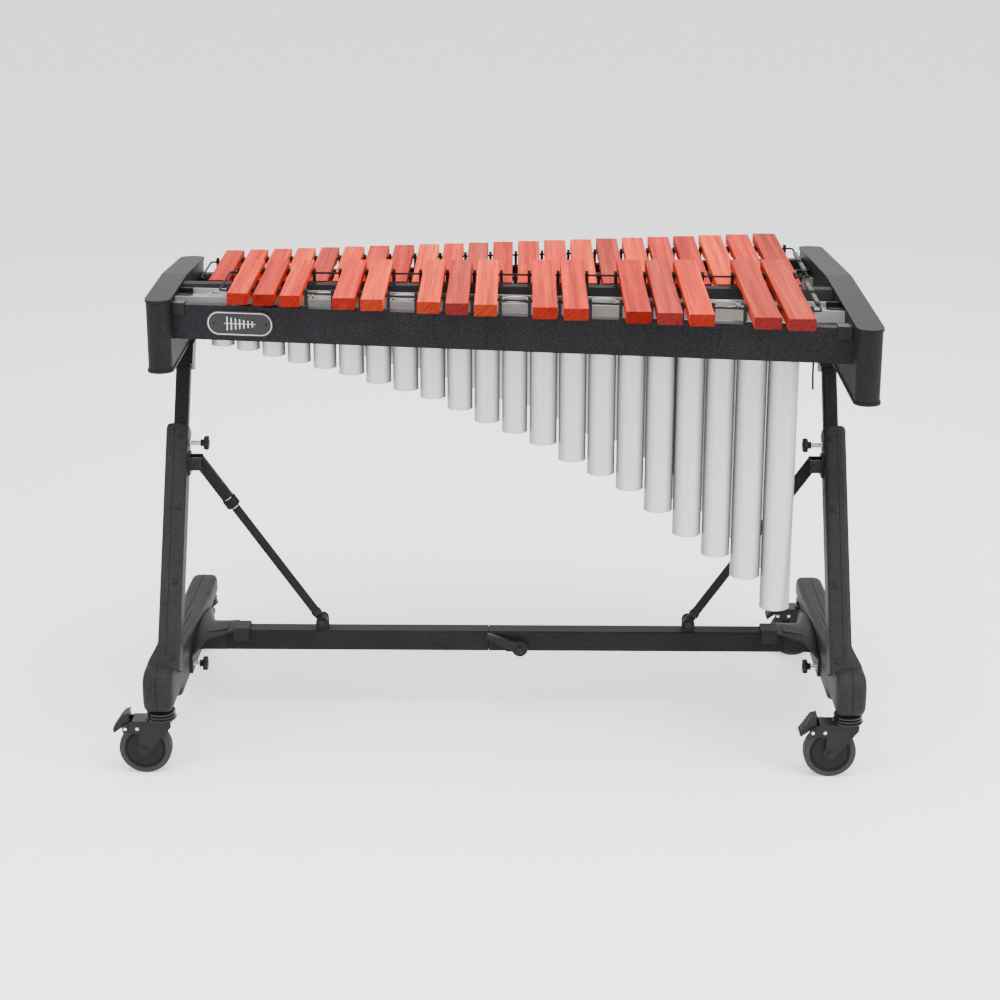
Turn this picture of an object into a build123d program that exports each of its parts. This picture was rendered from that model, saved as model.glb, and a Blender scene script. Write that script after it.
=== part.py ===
"""Three-octave concert marimba (C3 to C6) on a wheeled, height-adjustable frame.

Millimetres, +Z up. +X runs from the high notes to the low notes and +Y from the audience to the player.
The model is drawn about the middle of the keyboard, and CENTRE then moves every piece so that the
origin lies on the floor under the middle of the whole instrument.
"""
from build123d import *
import os
from math import atan, cos, degrees, radians, sin, tan

os.makedirs("parts", exist_ok=True)

# ---------------------------------------------------------------- driving dimensions
# bars
NATURAL_MIDI = [84, 83, 81, 79, 77, 76, 74, 72, 71, 69, 67, 65, 64, 62, 60, 59, 57, 55, 53, 52, 50, 48]
ACCIDENTAL_SLOTS = [1, 2, 3, 5, 6, 8, 9, 10, 12, 13, 15, 16, 17, 19, 20]
BAR_GAP = 10.5
BAR_THICK = 21.4
BAR_ARCH = 9.0
BAR_EDGE = 2.0
KEYBOARD_X = -4.0                       # middle of the natural bars
NATURAL_TOP = 883.0
ACCIDENTAL_TOP = 921.5
NODE_RATIO = 0.224                      # nodal points of a free bar, from each end
CORD_RADIUS = 2.0
CORD_HOLE = 3.0

# keyboard frame
RAIL_THICK = 20.0
RAIL_HEIGHT = 66.0
NEAR_RAIL_TOP = 884.0
INNER_ACCIDENTAL_TOP = 890.0
NATURAL_RAIL_TOP = 850.0
SEAM_X = -33.0                          # where the frame parts into two halves
SEAM_GAP = 0.8
BLOCK_IN = 621.5
BLOCK_OUT = 667.0
BLOCK_BOTTOM = 763.0
BLOCK_TOP = 897.0
HIGH_BLOCK_Y = (-242.0, 250.0)
LOW_BLOCK_Y = (-446.0, 440.0)
CAP_THICK = 5.0
CAP_LIP = 2.0

# resonators
CHANNEL_HALF = 36.0
CHANNEL_WALL = 3.0
TUBE_WALL = 1.5
NEAR_TUBE_TOP = 888.0
FAR_TUBE_TOP = 849.0
SPEED_OF_SOUND = 343200.0               # mm per second
WAVE_SHARE = 0.925                      # a tube's share of its note's quarter wave
TUBE_SKIRT = 21.0                       # what every tube has over that share

# legs and base
LEG_X = 652.0                           # middle of a foot
CASING_X = 637.0                        # middle of a leg casing
TUBE_X = 632.0                          # middle of the tube that slides in it
LEG_LEAN = 30.3                         # degrees from upright, towards the player
LEG_FOOT = Vector(0, -300.0, 235.0)
CASING_START = -46.0                    # along the leg from its foot point
CASING_LENGTH = 426.0
CASING_WIDTH = 43.0
CASING_DEPTH = 55.0
TUBE_SIDE = 27.6
SLIDE_GAP = 0.5
FOOT_HALF = 28.0
FOOT_BOTTOM = 128.0
BAR_Y = -60.0
BAR_SIDE = 42.0
BAR_MID_Z = 160.0

# casters
WHEEL_RADIUS = 50.0
WHEEL_HALF = 13.0
TRAIL = 32.0
PEDAL_REACH = 60.0
CASTER_Y = {"front": -350.0, "rear": 255.0}
AXLE_RADIUS = 4.0
STEM_RADIUS = 6.0
RUNNING_GAP = 0.05

# braces
BRACE_FOOT = Vector(368.0, BAR_Y, 197.0)
BRACE_HEAD = Vector(597.0, -114.0, 552.0)


# ---------------------------------------------------------------- shared lines and helpers
def natural_far(x):
    return 371.0 + 0.169 * x


def natural_near(x):
    return -16.0 - 0.024 * x


def accidental_near(x):
    return -371.0 - 0.182 * x


def accidental_far(x):
    return 15.0 + 0.016 * x


def between(low, high, ratio):
    """The line that lies at a ratio of the way from one line to another."""
    return lambda x: low(x) + ratio * (high(x) - low(x))


ACCIDENTAL_NEAR_NODE = between(accidental_near, accidental_far, NODE_RATIO)
ACCIDENTAL_FAR_NODE = between(accidental_near, accidental_far, 1 - NODE_RATIO)
NATURAL_NEAR_NODE = between(natural_near, natural_far, NODE_RATIO)
NATURAL_FAR_NODE = between(natural_near, natural_far, 1 - NODE_RATIO)
NEAR_TUBE_LINE = between(accidental_near, accidental_far, 0.5)
FAR_TUBE_LINE = between(natural_near, natural_far, 0.5)


def save(built, name):
    """Centre a node over the origin, label it and write its STEP file. A list keeps its solids apart."""
    solids = built if isinstance(built, list) else built.part.solids()
    moved = [solid.moved(CENTRE) for solid in solids]
    piece = moved[0] if len(moved) == 1 else Compound(children=moved)
    piece.label = name
    export_step(piece, f"parts/{name}.step")


def slope_angle(line):
    """A keyboard line's turn from the X axis, in degrees."""
    return degrees(atan(line(1) - line(0)))


def cord_location(x, line, z):
    """Where a cord crosses X, with the local Z axis along the cord."""
    return Plane(origin=(x, line(x), z), z_dir=(1, line(1) - line(0), 0)).location


def strip(line, x_low, x_high, half, z_low, z_high):
    """A straight beam along a keyboard line, with ends square to X."""
    with BuildPart() as beam:
        with BuildSketch(Plane.XY.offset(z_low)):
            with BuildLine():
                Polyline(
                    (x_low, line(x_low) - half),
                    (x_high, line(x_high) - half),
                    (x_high, line(x_high) + half),
                    (x_low, line(x_low) + half),
                    close=True,
                )
            make_face()
        extrude(amount=z_high - z_low)
    return beam.part


def split_strip(line, half, z_low, z_high):
    """The two halves of a rail, which part at the seam."""
    high_half = strip(line, -BLOCK_IN, SEAM_X - SEAM_GAP / 2, half, z_low, z_high)
    low_half = strip(line, SEAM_X + SEAM_GAP / 2, BLOCK_IN, half, z_low, z_high)
    return [high_half, low_half]


def rod(start, end, radius):
    """A round bar from one point to another."""
    axis = end - start
    with BuildPart() as bar:
        with BuildSketch(Plane(origin=start, z_dir=axis)):
            Circle(radius)
        extrude(amount=axis.length)
    return bar.part


def group(pieces):
    """The separate solids of several pieces, to stand side by side in one node."""
    return [solid for piece in pieces for solid in piece.solids()]


# ---------------------------------------------------------------- bars
def natural_width(index):
    """Bars widen in four steps from the high notes to the low ones."""
    if index < 5:
        return 38.0
    if index < 12:
        return 41.0
    if index < 19:
        return 44.5
    return 48.0


def natural_centres():
    """Middle of each natural bar, high to low."""
    widths = [natural_width(i) for i in range(len(NATURAL_MIDI))]
    edge = KEYBOARD_X - (sum(widths) + BAR_GAP * (len(widths) - 1)) / 2
    centres = []
    for width in widths:
        centres.append(edge + width / 2)
        edge += width + BAR_GAP
    return centres


NATURAL_X = natural_centres()
SLOT_X = [(a + b) / 2 for a, b in zip(NATURAL_X, NATURAL_X[1:])]

# The instrument reaches from the high casters' pedals to the low block's cap, and from that block's
# near end to the far end of the lowest bar.
CENTRE = Location(
    (
        (LEG_X + TRAIL + PEDAL_REACH - BLOCK_OUT - CAP_LIP) / 2,
        -(natural_far(NATURAL_X[-1]) + LOW_BLOCK_Y[0] - CAP_LIP) / 2,
        0,
    )
)
SLOT_MIDI = [(a + b) / 2 for a, b in zip(NATURAL_MIDI, NATURAL_MIDI[1:])]


def tone_bar(x, width, near, far, top, nodes):
    """One bar: eased long edges, an arch cut under its middle, and a cord hole at each nodal line."""
    length = far(x) - near(x)
    middle = (far(x) + near(x)) / 2
    bottom = top - BAR_THICK
    arch_half = length * 0.24
    with BuildPart() as bar:
        near_end = (x, near(x), top - BAR_THICK / 2)
        with BuildSketch(Plane(origin=near_end, x_dir=(1, 0, 0), z_dir=(0, 1, 0))):
            RectangleRounded(width, BAR_THICK, BAR_EDGE)
        extrude(amount=length)
        with BuildSketch(Plane(origin=(x, middle, bottom), x_dir=(0, 1, 0), z_dir=(1, 0, 0))):
            with BuildLine():
                ThreePointArc((-arch_half, 0), (0, BAR_ARCH), (arch_half, 0))
                Line((arch_half, 0), (-arch_half, 0))
            make_face()
        extrude(amount=width, both=True, mode=Mode.SUBTRACT)
        for node in nodes:
            with Locations(cord_location(x, node, top - BAR_THICK / 2)):
                Cylinder(CORD_HOLE, width * 1.5, mode=Mode.SUBTRACT)
    return bar.part


NATURAL_NODES = (NATURAL_NEAR_NODE, NATURAL_FAR_NODE)
ACCIDENTAL_NODES = (ACCIDENTAL_NEAR_NODE, ACCIDENTAL_FAR_NODE)
natural_solids = [
    tone_bar(x, natural_width(i), natural_near, natural_far, NATURAL_TOP, NATURAL_NODES)
    for i, x in enumerate(NATURAL_X)
]
accidental_solids = [
    tone_bar(
        SLOT_X[slot],
        natural_width(slot + 1),
        accidental_near,
        accidental_far,
        ACCIDENTAL_TOP,
        ACCIDENTAL_NODES,
    )
    for slot in ACCIDENTAL_SLOTS
]
save(group(natural_solids), "natural_bars")
save(group(accidental_solids), "accidental_bars")


# ---------------------------------------------------------------- suspension cords, springs and posts
NATURAL_CORD_Z = NATURAL_TOP - BAR_THICK / 2
ACCIDENTAL_CORD_Z = ACCIDENTAL_TOP - BAR_THICK / 2
NATURAL_CORD_X = (-603.0, 598.0)
ACCIDENTAL_CORD_X = (-530.0, 566.0)
SPRING_RADIUS = 4.5
SPRING_LENGTH = 86.0
SPRING_LINK = 12.0
CORD_CORNER = 7.0


def suspension_cord(near, far, x_ends, z):
    """A cord through both nodal lines, round the high end post, ending at the springs of the low end."""
    high, low = x_ends
    middle = (near(low) + far(low)) / 2
    reach = SPRING_LENGTH + SPRING_LINK / 2
    with BuildPart() as cord:
        with BuildLine() as path:
            FilletPolyline(
                (low, middle - reach, z),
                (low, near(low), z),
                (high, near(high), z),
                (high, far(high), z),
                (low, far(low), z),
                (low, middle + reach, z),
                radius=CORD_CORNER,
            )
        with BuildSketch(Plane(origin=path.line @ 0, z_dir=path.line % 0)):
            Circle(CORD_RADIUS)
        sweep()
    return cord.part


def cord_spring(x, y_start, z):
    """A sleeved extension spring, by its outline."""
    return rod(Vector(x, y_start, z), Vector(x, y_start + SPRING_LENGTH, z), SPRING_RADIUS)


def spring_pair(near, far, x, z):
    """The two springs in line that keep one cord tight, joined by a link."""
    middle = (near(x) + far(x)) / 2
    half_link = SPRING_LINK / 2
    return [
        cord_spring(x, middle - half_link - SPRING_LENGTH, z),
        cord_spring(x, middle + half_link, z),
        rod(Vector(x, middle - half_link, z), Vector(x, middle + half_link, z), CORD_RADIUS),
    ]


cords = [
    suspension_cord(*NATURAL_NODES, NATURAL_CORD_X, NATURAL_CORD_Z),
    suspension_cord(*ACCIDENTAL_NODES, ACCIDENTAL_CORD_X, ACCIDENTAL_CORD_Z),
]
save(group(cords), "suspension_cords")
springs = spring_pair(NATURAL_NEAR_NODE, NATURAL_FAR_NODE, NATURAL_CORD_X[1], NATURAL_CORD_Z)
springs += spring_pair(ACCIDENTAL_NEAR_NODE, ACCIDENTAL_FAR_NODE, ACCIDENTAL_CORD_X[1], ACCIDENTAL_CORD_Z)
save(group(springs), "cord_springs")

POST_WIDTH = 6.0
POST_DEPTH = 12.0


def cord_post(x, node, rail_top, cord_z):
    """A moulded post with a forked head that carries the cord between two bars."""
    foot = 3.0
    head_top = cord_z + 8.0
    with BuildPart() as post:
        with Locations((x, node(x), rail_top)):
            Box(POST_WIDTH + 2, POST_DEPTH + 3, foot, align=(Align.CENTER, Align.CENTER, Align.MIN))
            Box(POST_WIDTH, POST_DEPTH, head_top - rail_top, align=(Align.CENTER, Align.CENTER, Align.MIN))
        with Locations(cord_location(x, node, cord_z)):
            Cylinder(CORD_HOLE, POST_WIDTH * 3, mode=Mode.SUBTRACT)
        with Locations((x, node(x), cord_z + 4)):
            Box(POST_WIDTH * 2, 2 * CORD_RADIUS, 10, mode=Mode.SUBTRACT)
    return post.part


def natural_post_places():
    """One post in each gap, and one outside each end bar."""
    ends = [NATURAL_X[0] - natural_width(0) / 2 - 9, NATURAL_X[-1] + natural_width(21) / 2 + 9]
    return [ends[0]] + SLOT_X + [ends[1]]


def accidental_post_places():
    """One post in each gap between neighbours, and one either side of each group."""
    places = set()
    for slot in ACCIDENTAL_SLOTS:
        half = natural_width(slot + 1) / 2
        for side, beside in ((-1, slot - 1), (1, slot + 1)):
            if beside in ACCIDENTAL_SLOTS:
                places.add(round((SLOT_X[slot] + SLOT_X[beside]) / 2, 3))
            else:
                places.add(round(SLOT_X[slot] + side * (half + BAR_GAP / 2), 3))
    return sorted(places)


natural_post_solids = [
    cord_post(x, node, NATURAL_RAIL_TOP, NATURAL_CORD_Z)
    for node in NATURAL_NODES
    for x in natural_post_places()
]
save(group(natural_post_solids), "natural_posts")
accidental_post_solids = [
    cord_post(x, node, rail_top, ACCIDENTAL_CORD_Z)
    for node, rail_top in zip(ACCIDENTAL_NODES, (NEAR_RAIL_TOP, INNER_ACCIDENTAL_TOP))
    for x in accidental_post_places()
]
save(group(accidental_post_solids), "accidental_posts")


# ---------------------------------------------------------------- rails and end blocks
INNER_RAIL_HEIGHT = 30.0
INNER_RAIL_HALF = 12.0
near_rail = split_strip(ACCIDENTAL_NEAR_NODE, RAIL_THICK / 2, NEAR_RAIL_TOP - RAIL_HEIGHT, NEAR_RAIL_TOP)
far_rail = split_strip(NATURAL_FAR_NODE, RAIL_THICK / 2, NATURAL_RAIL_TOP - RAIL_HEIGHT, NATURAL_RAIL_TOP)
inner_rails = []
for node, rail_top in ((ACCIDENTAL_FAR_NODE, INNER_ACCIDENTAL_TOP), (NATURAL_NEAR_NODE, NATURAL_RAIL_TOP)):
    inner_rails += split_strip(node, INNER_RAIL_HALF, rail_top - INNER_RAIL_HEIGHT, rail_top)
save(group(near_rail), "near_rail")
save(group(far_rail), "far_rail")
save(group(inner_rails), "inner_rails")


def block_outline(y_ends, grow, side):
    """Plan of an end block: straight sides and fully rounded ends, grown all round for a cap."""
    width = BLOCK_OUT - BLOCK_IN + 2 * grow
    length = y_ends[1] - y_ends[0] + 2 * grow
    centre = (side * (BLOCK_IN + BLOCK_OUT) / 2, (y_ends[0] + y_ends[1]) / 2)
    with BuildSketch(Plane.XY.offset(BLOCK_BOTTOM - 2 * CAP_THICK)) as outline:
        with Locations(centre):
            RectangleRounded(width, length, width * 0.49)
    return outline.sketch


def block_profile(y_ends, lower, upper):
    """Side view of a block or a cap: level near half, then falling towards the player."""
    reach = 10.0
    kink = -8.0
    fall = 36.0
    near, far = y_ends[0] - reach, y_ends[1] + reach
    drop = fall * (far - kink) / (LOW_BLOCK_Y[1] - kink)
    top_line = [(far, upper - drop), (kink, upper), (near, upper)]
    with BuildSketch(Plane.YZ.offset(-2 * BLOCK_OUT)) as side_view:
        with BuildLine():
            Polyline((near, lower), (far, lower), *top_line, close=True)
        make_face()
    return side_view.sketch


TALL = 200.0                            # more than a block's height
ACROSS = 4 * BLOCK_OUT                  # more than the whole keyboard's width


def end_block(y_ends, side):
    """A moulded end block with a bullnose at each end."""
    with BuildPart() as block:
        extrude(block_outline(y_ends, 0, side), amount=TALL)
        side_view = block_profile(y_ends, BLOCK_BOTTOM, BLOCK_TOP - CAP_THICK)
        extrude(side_view, amount=ACROSS, mode=Mode.INTERSECT)
    return block.part


def top_cap(y_ends, side):
    """The trim over a block: it follows the block's top and stands a little proud of it."""
    with BuildPart() as cap:
        extrude(block_outline(y_ends, CAP_LIP, side), amount=TALL)
        extrude(block_profile(y_ends, BLOCK_BOTTOM, BLOCK_TOP), amount=ACROSS, mode=Mode.INTERSECT)
        under = block_profile(y_ends, BLOCK_BOTTOM - CAP_THICK, BLOCK_TOP - CAP_THICK)
        extrude(under, amount=ACROSS, mode=Mode.SUBTRACT)
    return cap.part


def bottom_cap(y_ends, side):
    """The flat trim under a block."""
    with BuildPart() as cap:
        extrude(block_outline(y_ends, CAP_LIP, side), amount=TALL)
        with Locations((0, 0, BLOCK_BOTTOM)):
            Box(ACROSS, ACROSS, TALL, align=(Align.CENTER, Align.CENTER, Align.MIN), mode=Mode.SUBTRACT)
        with Locations((0, 0, BLOCK_BOTTOM - CAP_THICK)):
            Box(ACROSS, ACROSS, TALL, align=(Align.CENTER, Align.CENTER, Align.MAX), mode=Mode.SUBTRACT)
    return cap.part


save(group([end_block(HIGH_BLOCK_Y, -1)]), "high_end_block")
save(group([end_block(LOW_BLOCK_Y, 1)]), "low_end_block")
top_caps = [top_cap(HIGH_BLOCK_Y, -1), top_cap(LOW_BLOCK_Y, 1)]
bottom_caps = [bottom_cap(HIGH_BLOCK_Y, -1), bottom_cap(LOW_BLOCK_Y, 1)]
save(group(top_caps + bottom_caps), "end_caps")

CLIP_WALL = 3.0
CLIP_LENGTH = 24.0
CLIP_DROP = 20.0


def rail_clip(x_low, x_high):
    """A U-shaped clip over the top of the near rail, beside an end block."""
    outer = RAIL_THICK / 2 + CLIP_WALL
    line = ACCIDENTAL_NEAR_NODE
    body = strip(line, x_low, x_high, outer, NEAR_RAIL_TOP - CLIP_DROP, NEAR_RAIL_TOP + CLIP_WALL)
    slot = strip(line, x_low - 1, x_high + 1, RAIL_THICK / 2, NEAR_RAIL_TOP - CLIP_DROP - 1, NEAR_RAIL_TOP)
    return body - slot


high_clip = rail_clip(-BLOCK_IN + 1, -BLOCK_IN + 1 + CLIP_LENGTH)
low_clip = rail_clip(BLOCK_IN - 3 - CLIP_LENGTH, BLOCK_IN - 3)
save(group([high_clip, low_clip]), "rail_end_clips")

PLATE_X = -492.0
PLATE_LENGTH = 128.0
PLATE_HEIGHT = 48.0
PLATE_THICK = 2.0
plate_turn = radians(slope_angle(ACCIDENTAL_NEAR_NODE))
plate_out = Vector(sin(plate_turn), -cos(plate_turn), 0)
rail_face_y = ACCIDENTAL_NEAR_NODE(PLATE_X) - RAIL_THICK / 2 / cos(plate_turn)
plate_face = Vector(PLATE_X, rail_face_y, NEAR_RAIL_TOP - RAIL_HEIGHT / 2) + plate_out * 0.05
with BuildPart() as name_plate:
    plate_along = (cos(plate_turn), sin(plate_turn), 0)
    with BuildSketch(Plane(origin=plate_face, x_dir=plate_along, z_dir=plate_out)):
        SlotOverall(PLATE_LENGTH, PLATE_HEIGHT)
    extrude(amount=PLATE_THICK)
save(name_plate, "name_plate")

# The loose end of the accidental cord hangs behind the near rail and shows below it.
TAIL_X = 557.0
TAIL_Y = ACCIDENTAL_NEAR_NODE(TAIL_X) + RAIL_THICK / 2 + 5
TAIL_POINTS = [
    (TAIL_X, TAIL_Y, 846.0),
    (TAIL_X, TAIL_Y, 818.0),
    (TAIL_X - 0.6, TAIL_Y - 1.4, 790.0),
    (TAIL_X + 0.8, TAIL_Y - 2.0, 762.0),
]


def corner_radii(points):
    """The largest tangent arc that each corner's runs leave room for."""
    radii = []
    for before, here, after in zip(points, points[1:], points[2:]):
        first = Vector(*here) - Vector(*before)
        second = Vector(*after) - Vector(*here)
        turn = radians(first.get_angle(second))
        radii.append(0.45 * min(first.length, second.length) / tan(turn / 2))
    return radii


TAIL_RADII = corner_radii(TAIL_POINTS)
print("cord tail radii", [round(r) for r in TAIL_RADII])
with BuildPart() as cord_tail:
    with BuildLine() as tail_path:
        FilletPolyline(*TAIL_POINTS, radius=TAIL_RADII)
    with BuildSketch(Plane(origin=tail_path.line @ 0, z_dir=tail_path.line % 0)):
        Circle(CORD_RADIUS)
    sweep()
save(cord_tail, "cord_tail")

TAIL_CLIP_HALF = 3.5


def tail_clip_line(x):
    """A line just behind the near rail."""
    return ACCIDENTAL_NEAR_NODE(x) + RAIL_THICK / 2 + TAIL_CLIP_HALF + 0.4


tail_top = TAIL_POINTS[0][2]
tail_clip = strip(tail_clip_line, TAIL_X - 6, TAIL_X + 6, TAIL_CLIP_HALF, tail_top, tail_top + 10)
save(group([tail_clip]), "cord_tail_clip")


# ---------------------------------------------------------------- resonators
def tube_radius(index):
    """Outer radius of a resonator by its place from the high end."""
    steps = ((5, 22.0), (12, 24.0), (16, 26.0), (19, 27.0))
    for count, radius in steps:
        if index < count:
            return radius
    return 28.5


def tube_length(midi):
    """Nearly a quarter of the note's wave, and a skirt below the stopper."""
    frequency = 440.0 * 2 ** ((midi - 69) / 12)
    return WAVE_SHARE * SPEED_OF_SOUND / (4 * frequency) + TUBE_SKIRT


STOPPER_THICK = 5.0
STOPPER_INSET = 4.0


def resonator(x, y, top, midi, radius):
    """An open tube, closed near its lower end by a stopper of its own."""
    bottom = top - tube_length(midi)
    with BuildPart() as tube:
        with BuildSketch(Plane.XY.offset(bottom)):
            with Locations((x, y)):
                Circle(radius)
                Circle(radius - TUBE_WALL, mode=Mode.SUBTRACT)
        extrude(amount=top - bottom)
    with BuildPart() as stopper:
        with BuildSketch(Plane.XY.offset(bottom + STOPPER_INSET)):
            with Locations((x, y)):
                Circle(radius - TUBE_WALL)
        extrude(amount=STOPPER_THICK)
    return tube.part, stopper.part


def channel(line, top, depth, places):
    """The folded tray that carries a row of tubes, with a hole for each."""
    web_top = top - 10.0
    outer = strip(line, -BLOCK_IN, BLOCK_IN, CHANNEL_HALF, top - depth, top)
    inside = CHANNEL_HALF - CHANNEL_WALL
    above = strip(line, -BLOCK_IN - 1, BLOCK_IN + 1, inside, web_top, top + 1)
    below = strip(line, -BLOCK_IN - 1, BLOCK_IN + 1, inside, top - depth - 1, web_top - CHANNEL_WALL)
    with BuildPart() as tray:
        add(outer)
        add([above, below], mode=Mode.SUBTRACT)
        with BuildSketch(Plane.XY.offset(top - depth)):
            for x, radius in places:
                with Locations((x, line(x))):
                    Circle(radius)
        extrude(amount=depth, mode=Mode.SUBTRACT)
    return tray


CHANNEL_DEPTH = 22.0
near_places = [(x, tube_radius(i)) for i, x in enumerate(SLOT_X)]
far_places = [(x, tube_radius(i)) for i, x in enumerate(NATURAL_X)]
near_pairs = [
    resonator(x, NEAR_TUBE_LINE(x), NEAR_TUBE_TOP, midi, radius)
    for (x, radius), midi in zip(near_places, SLOT_MIDI)
]
far_pairs = [
    resonator(x, FAR_TUBE_LINE(x), FAR_TUBE_TOP, midi, radius)
    for (x, radius), midi in zip(far_places, NATURAL_MIDI)
]
save(group([tube for tube, _ in near_pairs]), "near_resonators")
save(group([tube for tube, _ in far_pairs]), "far_resonators")
save(group([stopper for _, stopper in near_pairs + far_pairs]), "resonator_stoppers")
save(channel(NEAR_TUBE_LINE, NEAR_TUBE_TOP, CHANNEL_DEPTH, near_places), "near_bank_channel")
save(channel(FAR_TUBE_LINE, FAR_TUBE_TOP, CHANNEL_DEPTH, far_places), "far_bank_channel")


def hook_bracket(line, top, side):
    """A folded hook from an end block, over both flanges of a resonator channel."""
    inner = side * (BLOCK_IN - 26)
    outer = side * BLOCK_IN
    reach = CHANNEL_HALF - CHANNEL_WALL - 4
    ends = sorted((inner, outer))
    tray = strip(line, ends[0], ends[1], reach, top - 9.9, top - 6.9)
    lip_low = strip(lambda x: line(x) - reach + 1.5, ends[0], ends[1], 1.5, top - 6.9, top + 2)
    lip_high = strip(lambda x: line(x) + reach - 1.5, ends[0], ends[1], 1.5, top - 6.9, top + 2)
    with BuildPart() as hook:
        add([tray, lip_low, lip_high])
    return hook.part


BANKS = ((NEAR_TUBE_LINE, NEAR_TUBE_TOP), (FAR_TUBE_LINE, FAR_TUBE_TOP))
save(group([hook_bracket(line, top, side) for side in (-1, 1) for line, top in BANKS]), "bank_hooks")


# ---------------------------------------------------------------- legs
LEAN = radians(LEG_LEAN)
LEG_AXIS = Vector(0, sin(LEAN), cos(LEAN))
LEG_TOP = (BLOCK_BOTTOM - CAP_THICK - LEG_FOOT.Z) / LEG_AXIS.Z


def leg_plane(side, along, middle=CASING_X):
    """A plane square to a leg, at a distance along it from the foot."""
    start = Vector(side * middle, LEG_FOOT.Y, LEG_FOOT.Z) + LEG_AXIS * along
    return Plane(origin=start, x_dir=(1, 0, 0), z_dir=LEG_AXIS)


def leg_prism(side, start, end, width, depth, corner, middle=TUBE_X):
    """A square-ended prism along a leg."""
    with BuildPart() as prism:
        with BuildSketch(leg_plane(side, start, middle)):
            RectangleRounded(width, depth, corner)
        extrude(amount=end - start)
    return prism.part


TUBE_START = 120.0
TUBE_THICK = 2.5
BORE = TUBE_SIDE + 2 * SLIDE_GAP


def leg_tube(side):
    """The square tube that slides in a casing and carries an end block."""
    with BuildPart() as tube:
        add(leg_prism(side, TUBE_START, LEG_TOP + 40, TUBE_SIDE, TUBE_SIDE, 4))
        inside = TUBE_SIDE - 2 * TUBE_THICK
        add(leg_prism(side, TUBE_START - 1, LEG_TOP + 41, inside, inside, 1.5), mode=Mode.SUBTRACT)
        with Locations((0, 0, BLOCK_BOTTOM - CAP_THICK)):
            Box(3000, 3000, 400, align=(Align.CENTER, Align.CENTER, Align.MIN), mode=Mode.SUBTRACT)
    return tube.part


HEAD_WIDTH = 39.0
HEAD_DEPTH = 46.0
HEAD_LENGTH = 52.0


def leg_head(side):
    """The socket under an end block, round the top of a leg tube."""
    with BuildPart() as head:
        add(leg_prism(side, LEG_TOP - HEAD_LENGTH, LEG_TOP + 40, HEAD_WIDTH, HEAD_DEPTH, 5))
        socket = leg_prism(side, LEG_TOP - HEAD_LENGTH - 1, LEG_TOP + 41, TUBE_SIDE, TUBE_SIDE, 4)
        add(socket, mode=Mode.SUBTRACT)
        with Locations((0, 0, BLOCK_BOTTOM - CAP_THICK)):
            Box(3000, 3000, 400, align=(Align.CENTER, Align.CENTER, Align.MIN), mode=Mode.SUBTRACT)
    return head.part


save(group([leg_tube(-1), leg_tube(1)]), "leg_tubes")
save(group([leg_head(-1), leg_head(1)]), "leg_head_brackets")

SEAM_GROOVE = 0.8
SEAM_SHIFT = 4.0                        # the parting line lies outside the casing's middle


def leg_casing(side):
    """The fixed outer leg: a moulded casing with a square bore and a parting line down its near face."""
    with BuildPart() as casing:
        add(leg_prism(side, CASING_START, CASING_LENGTH, CASING_WIDTH, CASING_DEPTH, 9, CASING_X))
        add(leg_prism(side, 24, CASING_LENGTH + 1, BORE, BORE, 4.5), mode=Mode.SUBTRACT)
        with BuildSketch(leg_plane(side, CASING_START - 1)):
            with Locations((side * SEAM_SHIFT, -CASING_DEPTH / 2), (side * SEAM_SHIFT, CASING_DEPTH / 2)):
                Rectangle(SEAM_GROOVE, 3.0)
        extrude(amount=CASING_LENGTH - CASING_START + 2, mode=Mode.SUBTRACT)
    return casing.part


save(group([leg_casing(-1)]), "high_leg_casing")
save(group([leg_casing(1)]), "low_leg_casing")

SCREW_PLACES = (-25.0, 121.0, 267.0, 405.0)
SCREW_SHIFT = 8.0


def casing_screw(side, along):
    """A socket screw that closes a leg casing, seen on its near face beside the parting line."""
    near = Vector(0, -cos(LEAN), sin(LEAN))
    start = leg_plane(side, along).origin + Vector(-side * SCREW_SHIFT, 0, 0) + near * (CASING_DEPTH / 2)
    return rod(start, start + near * 1.6, 4.0)


save(group([casing_screw(side, along) for side in (-1, 1) for along in SCREW_PLACES]), "casing_screws")

# ---------------------------------------------------------------- feet and base bar
FOOT_REAR = 286.0
FOOT_KEEL = 104.0                       # the deeper underside between the casters
FOOT_CORNER = 14.0
FOOT_EASE = 7.0
KEEL_INSET = 1.0
STEM_DEPTH = 24.0


def foot_shell(side):
    """A long moulded foot: a rear arm, and a nose round the leg."""
    with BuildPart() as foot:
        with BuildSketch(Plane.YZ.offset(side * LEG_X)):
            with BuildLine():
                FilletPolyline(
                    (-366, FOOT_BOTTOM),
                    (FOOT_REAR, FOOT_BOTTOM),
                    (FOOT_REAR, 169),
                    (93, 175),
                    (-60, 187),
                    (-250, 208),
                    (-352, 216),
                    (-387, 168),
                    radius=FOOT_CORNER,
                    close=True,
                )
            make_face()
        extrude(amount=FOOT_HALF, both=True)
        fillet(foot.faces().filter_by(Axis.X).edges(), radius=FOOT_EASE)
        casing = leg_prism(side, CASING_START, CASING_LENGTH, CASING_WIDTH, CASING_DEPTH, 9, CASING_X)
        add(casing, mode=Mode.SUBTRACT)
        with Locations(*[(side * LEG_X, y, FOOT_BOTTOM) for y in CASTER_Y.values()]):
            Cylinder(STEM_RADIUS + RUNNING_GAP, 2 * STEM_DEPTH, mode=Mode.SUBTRACT)
    return foot.part


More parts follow.
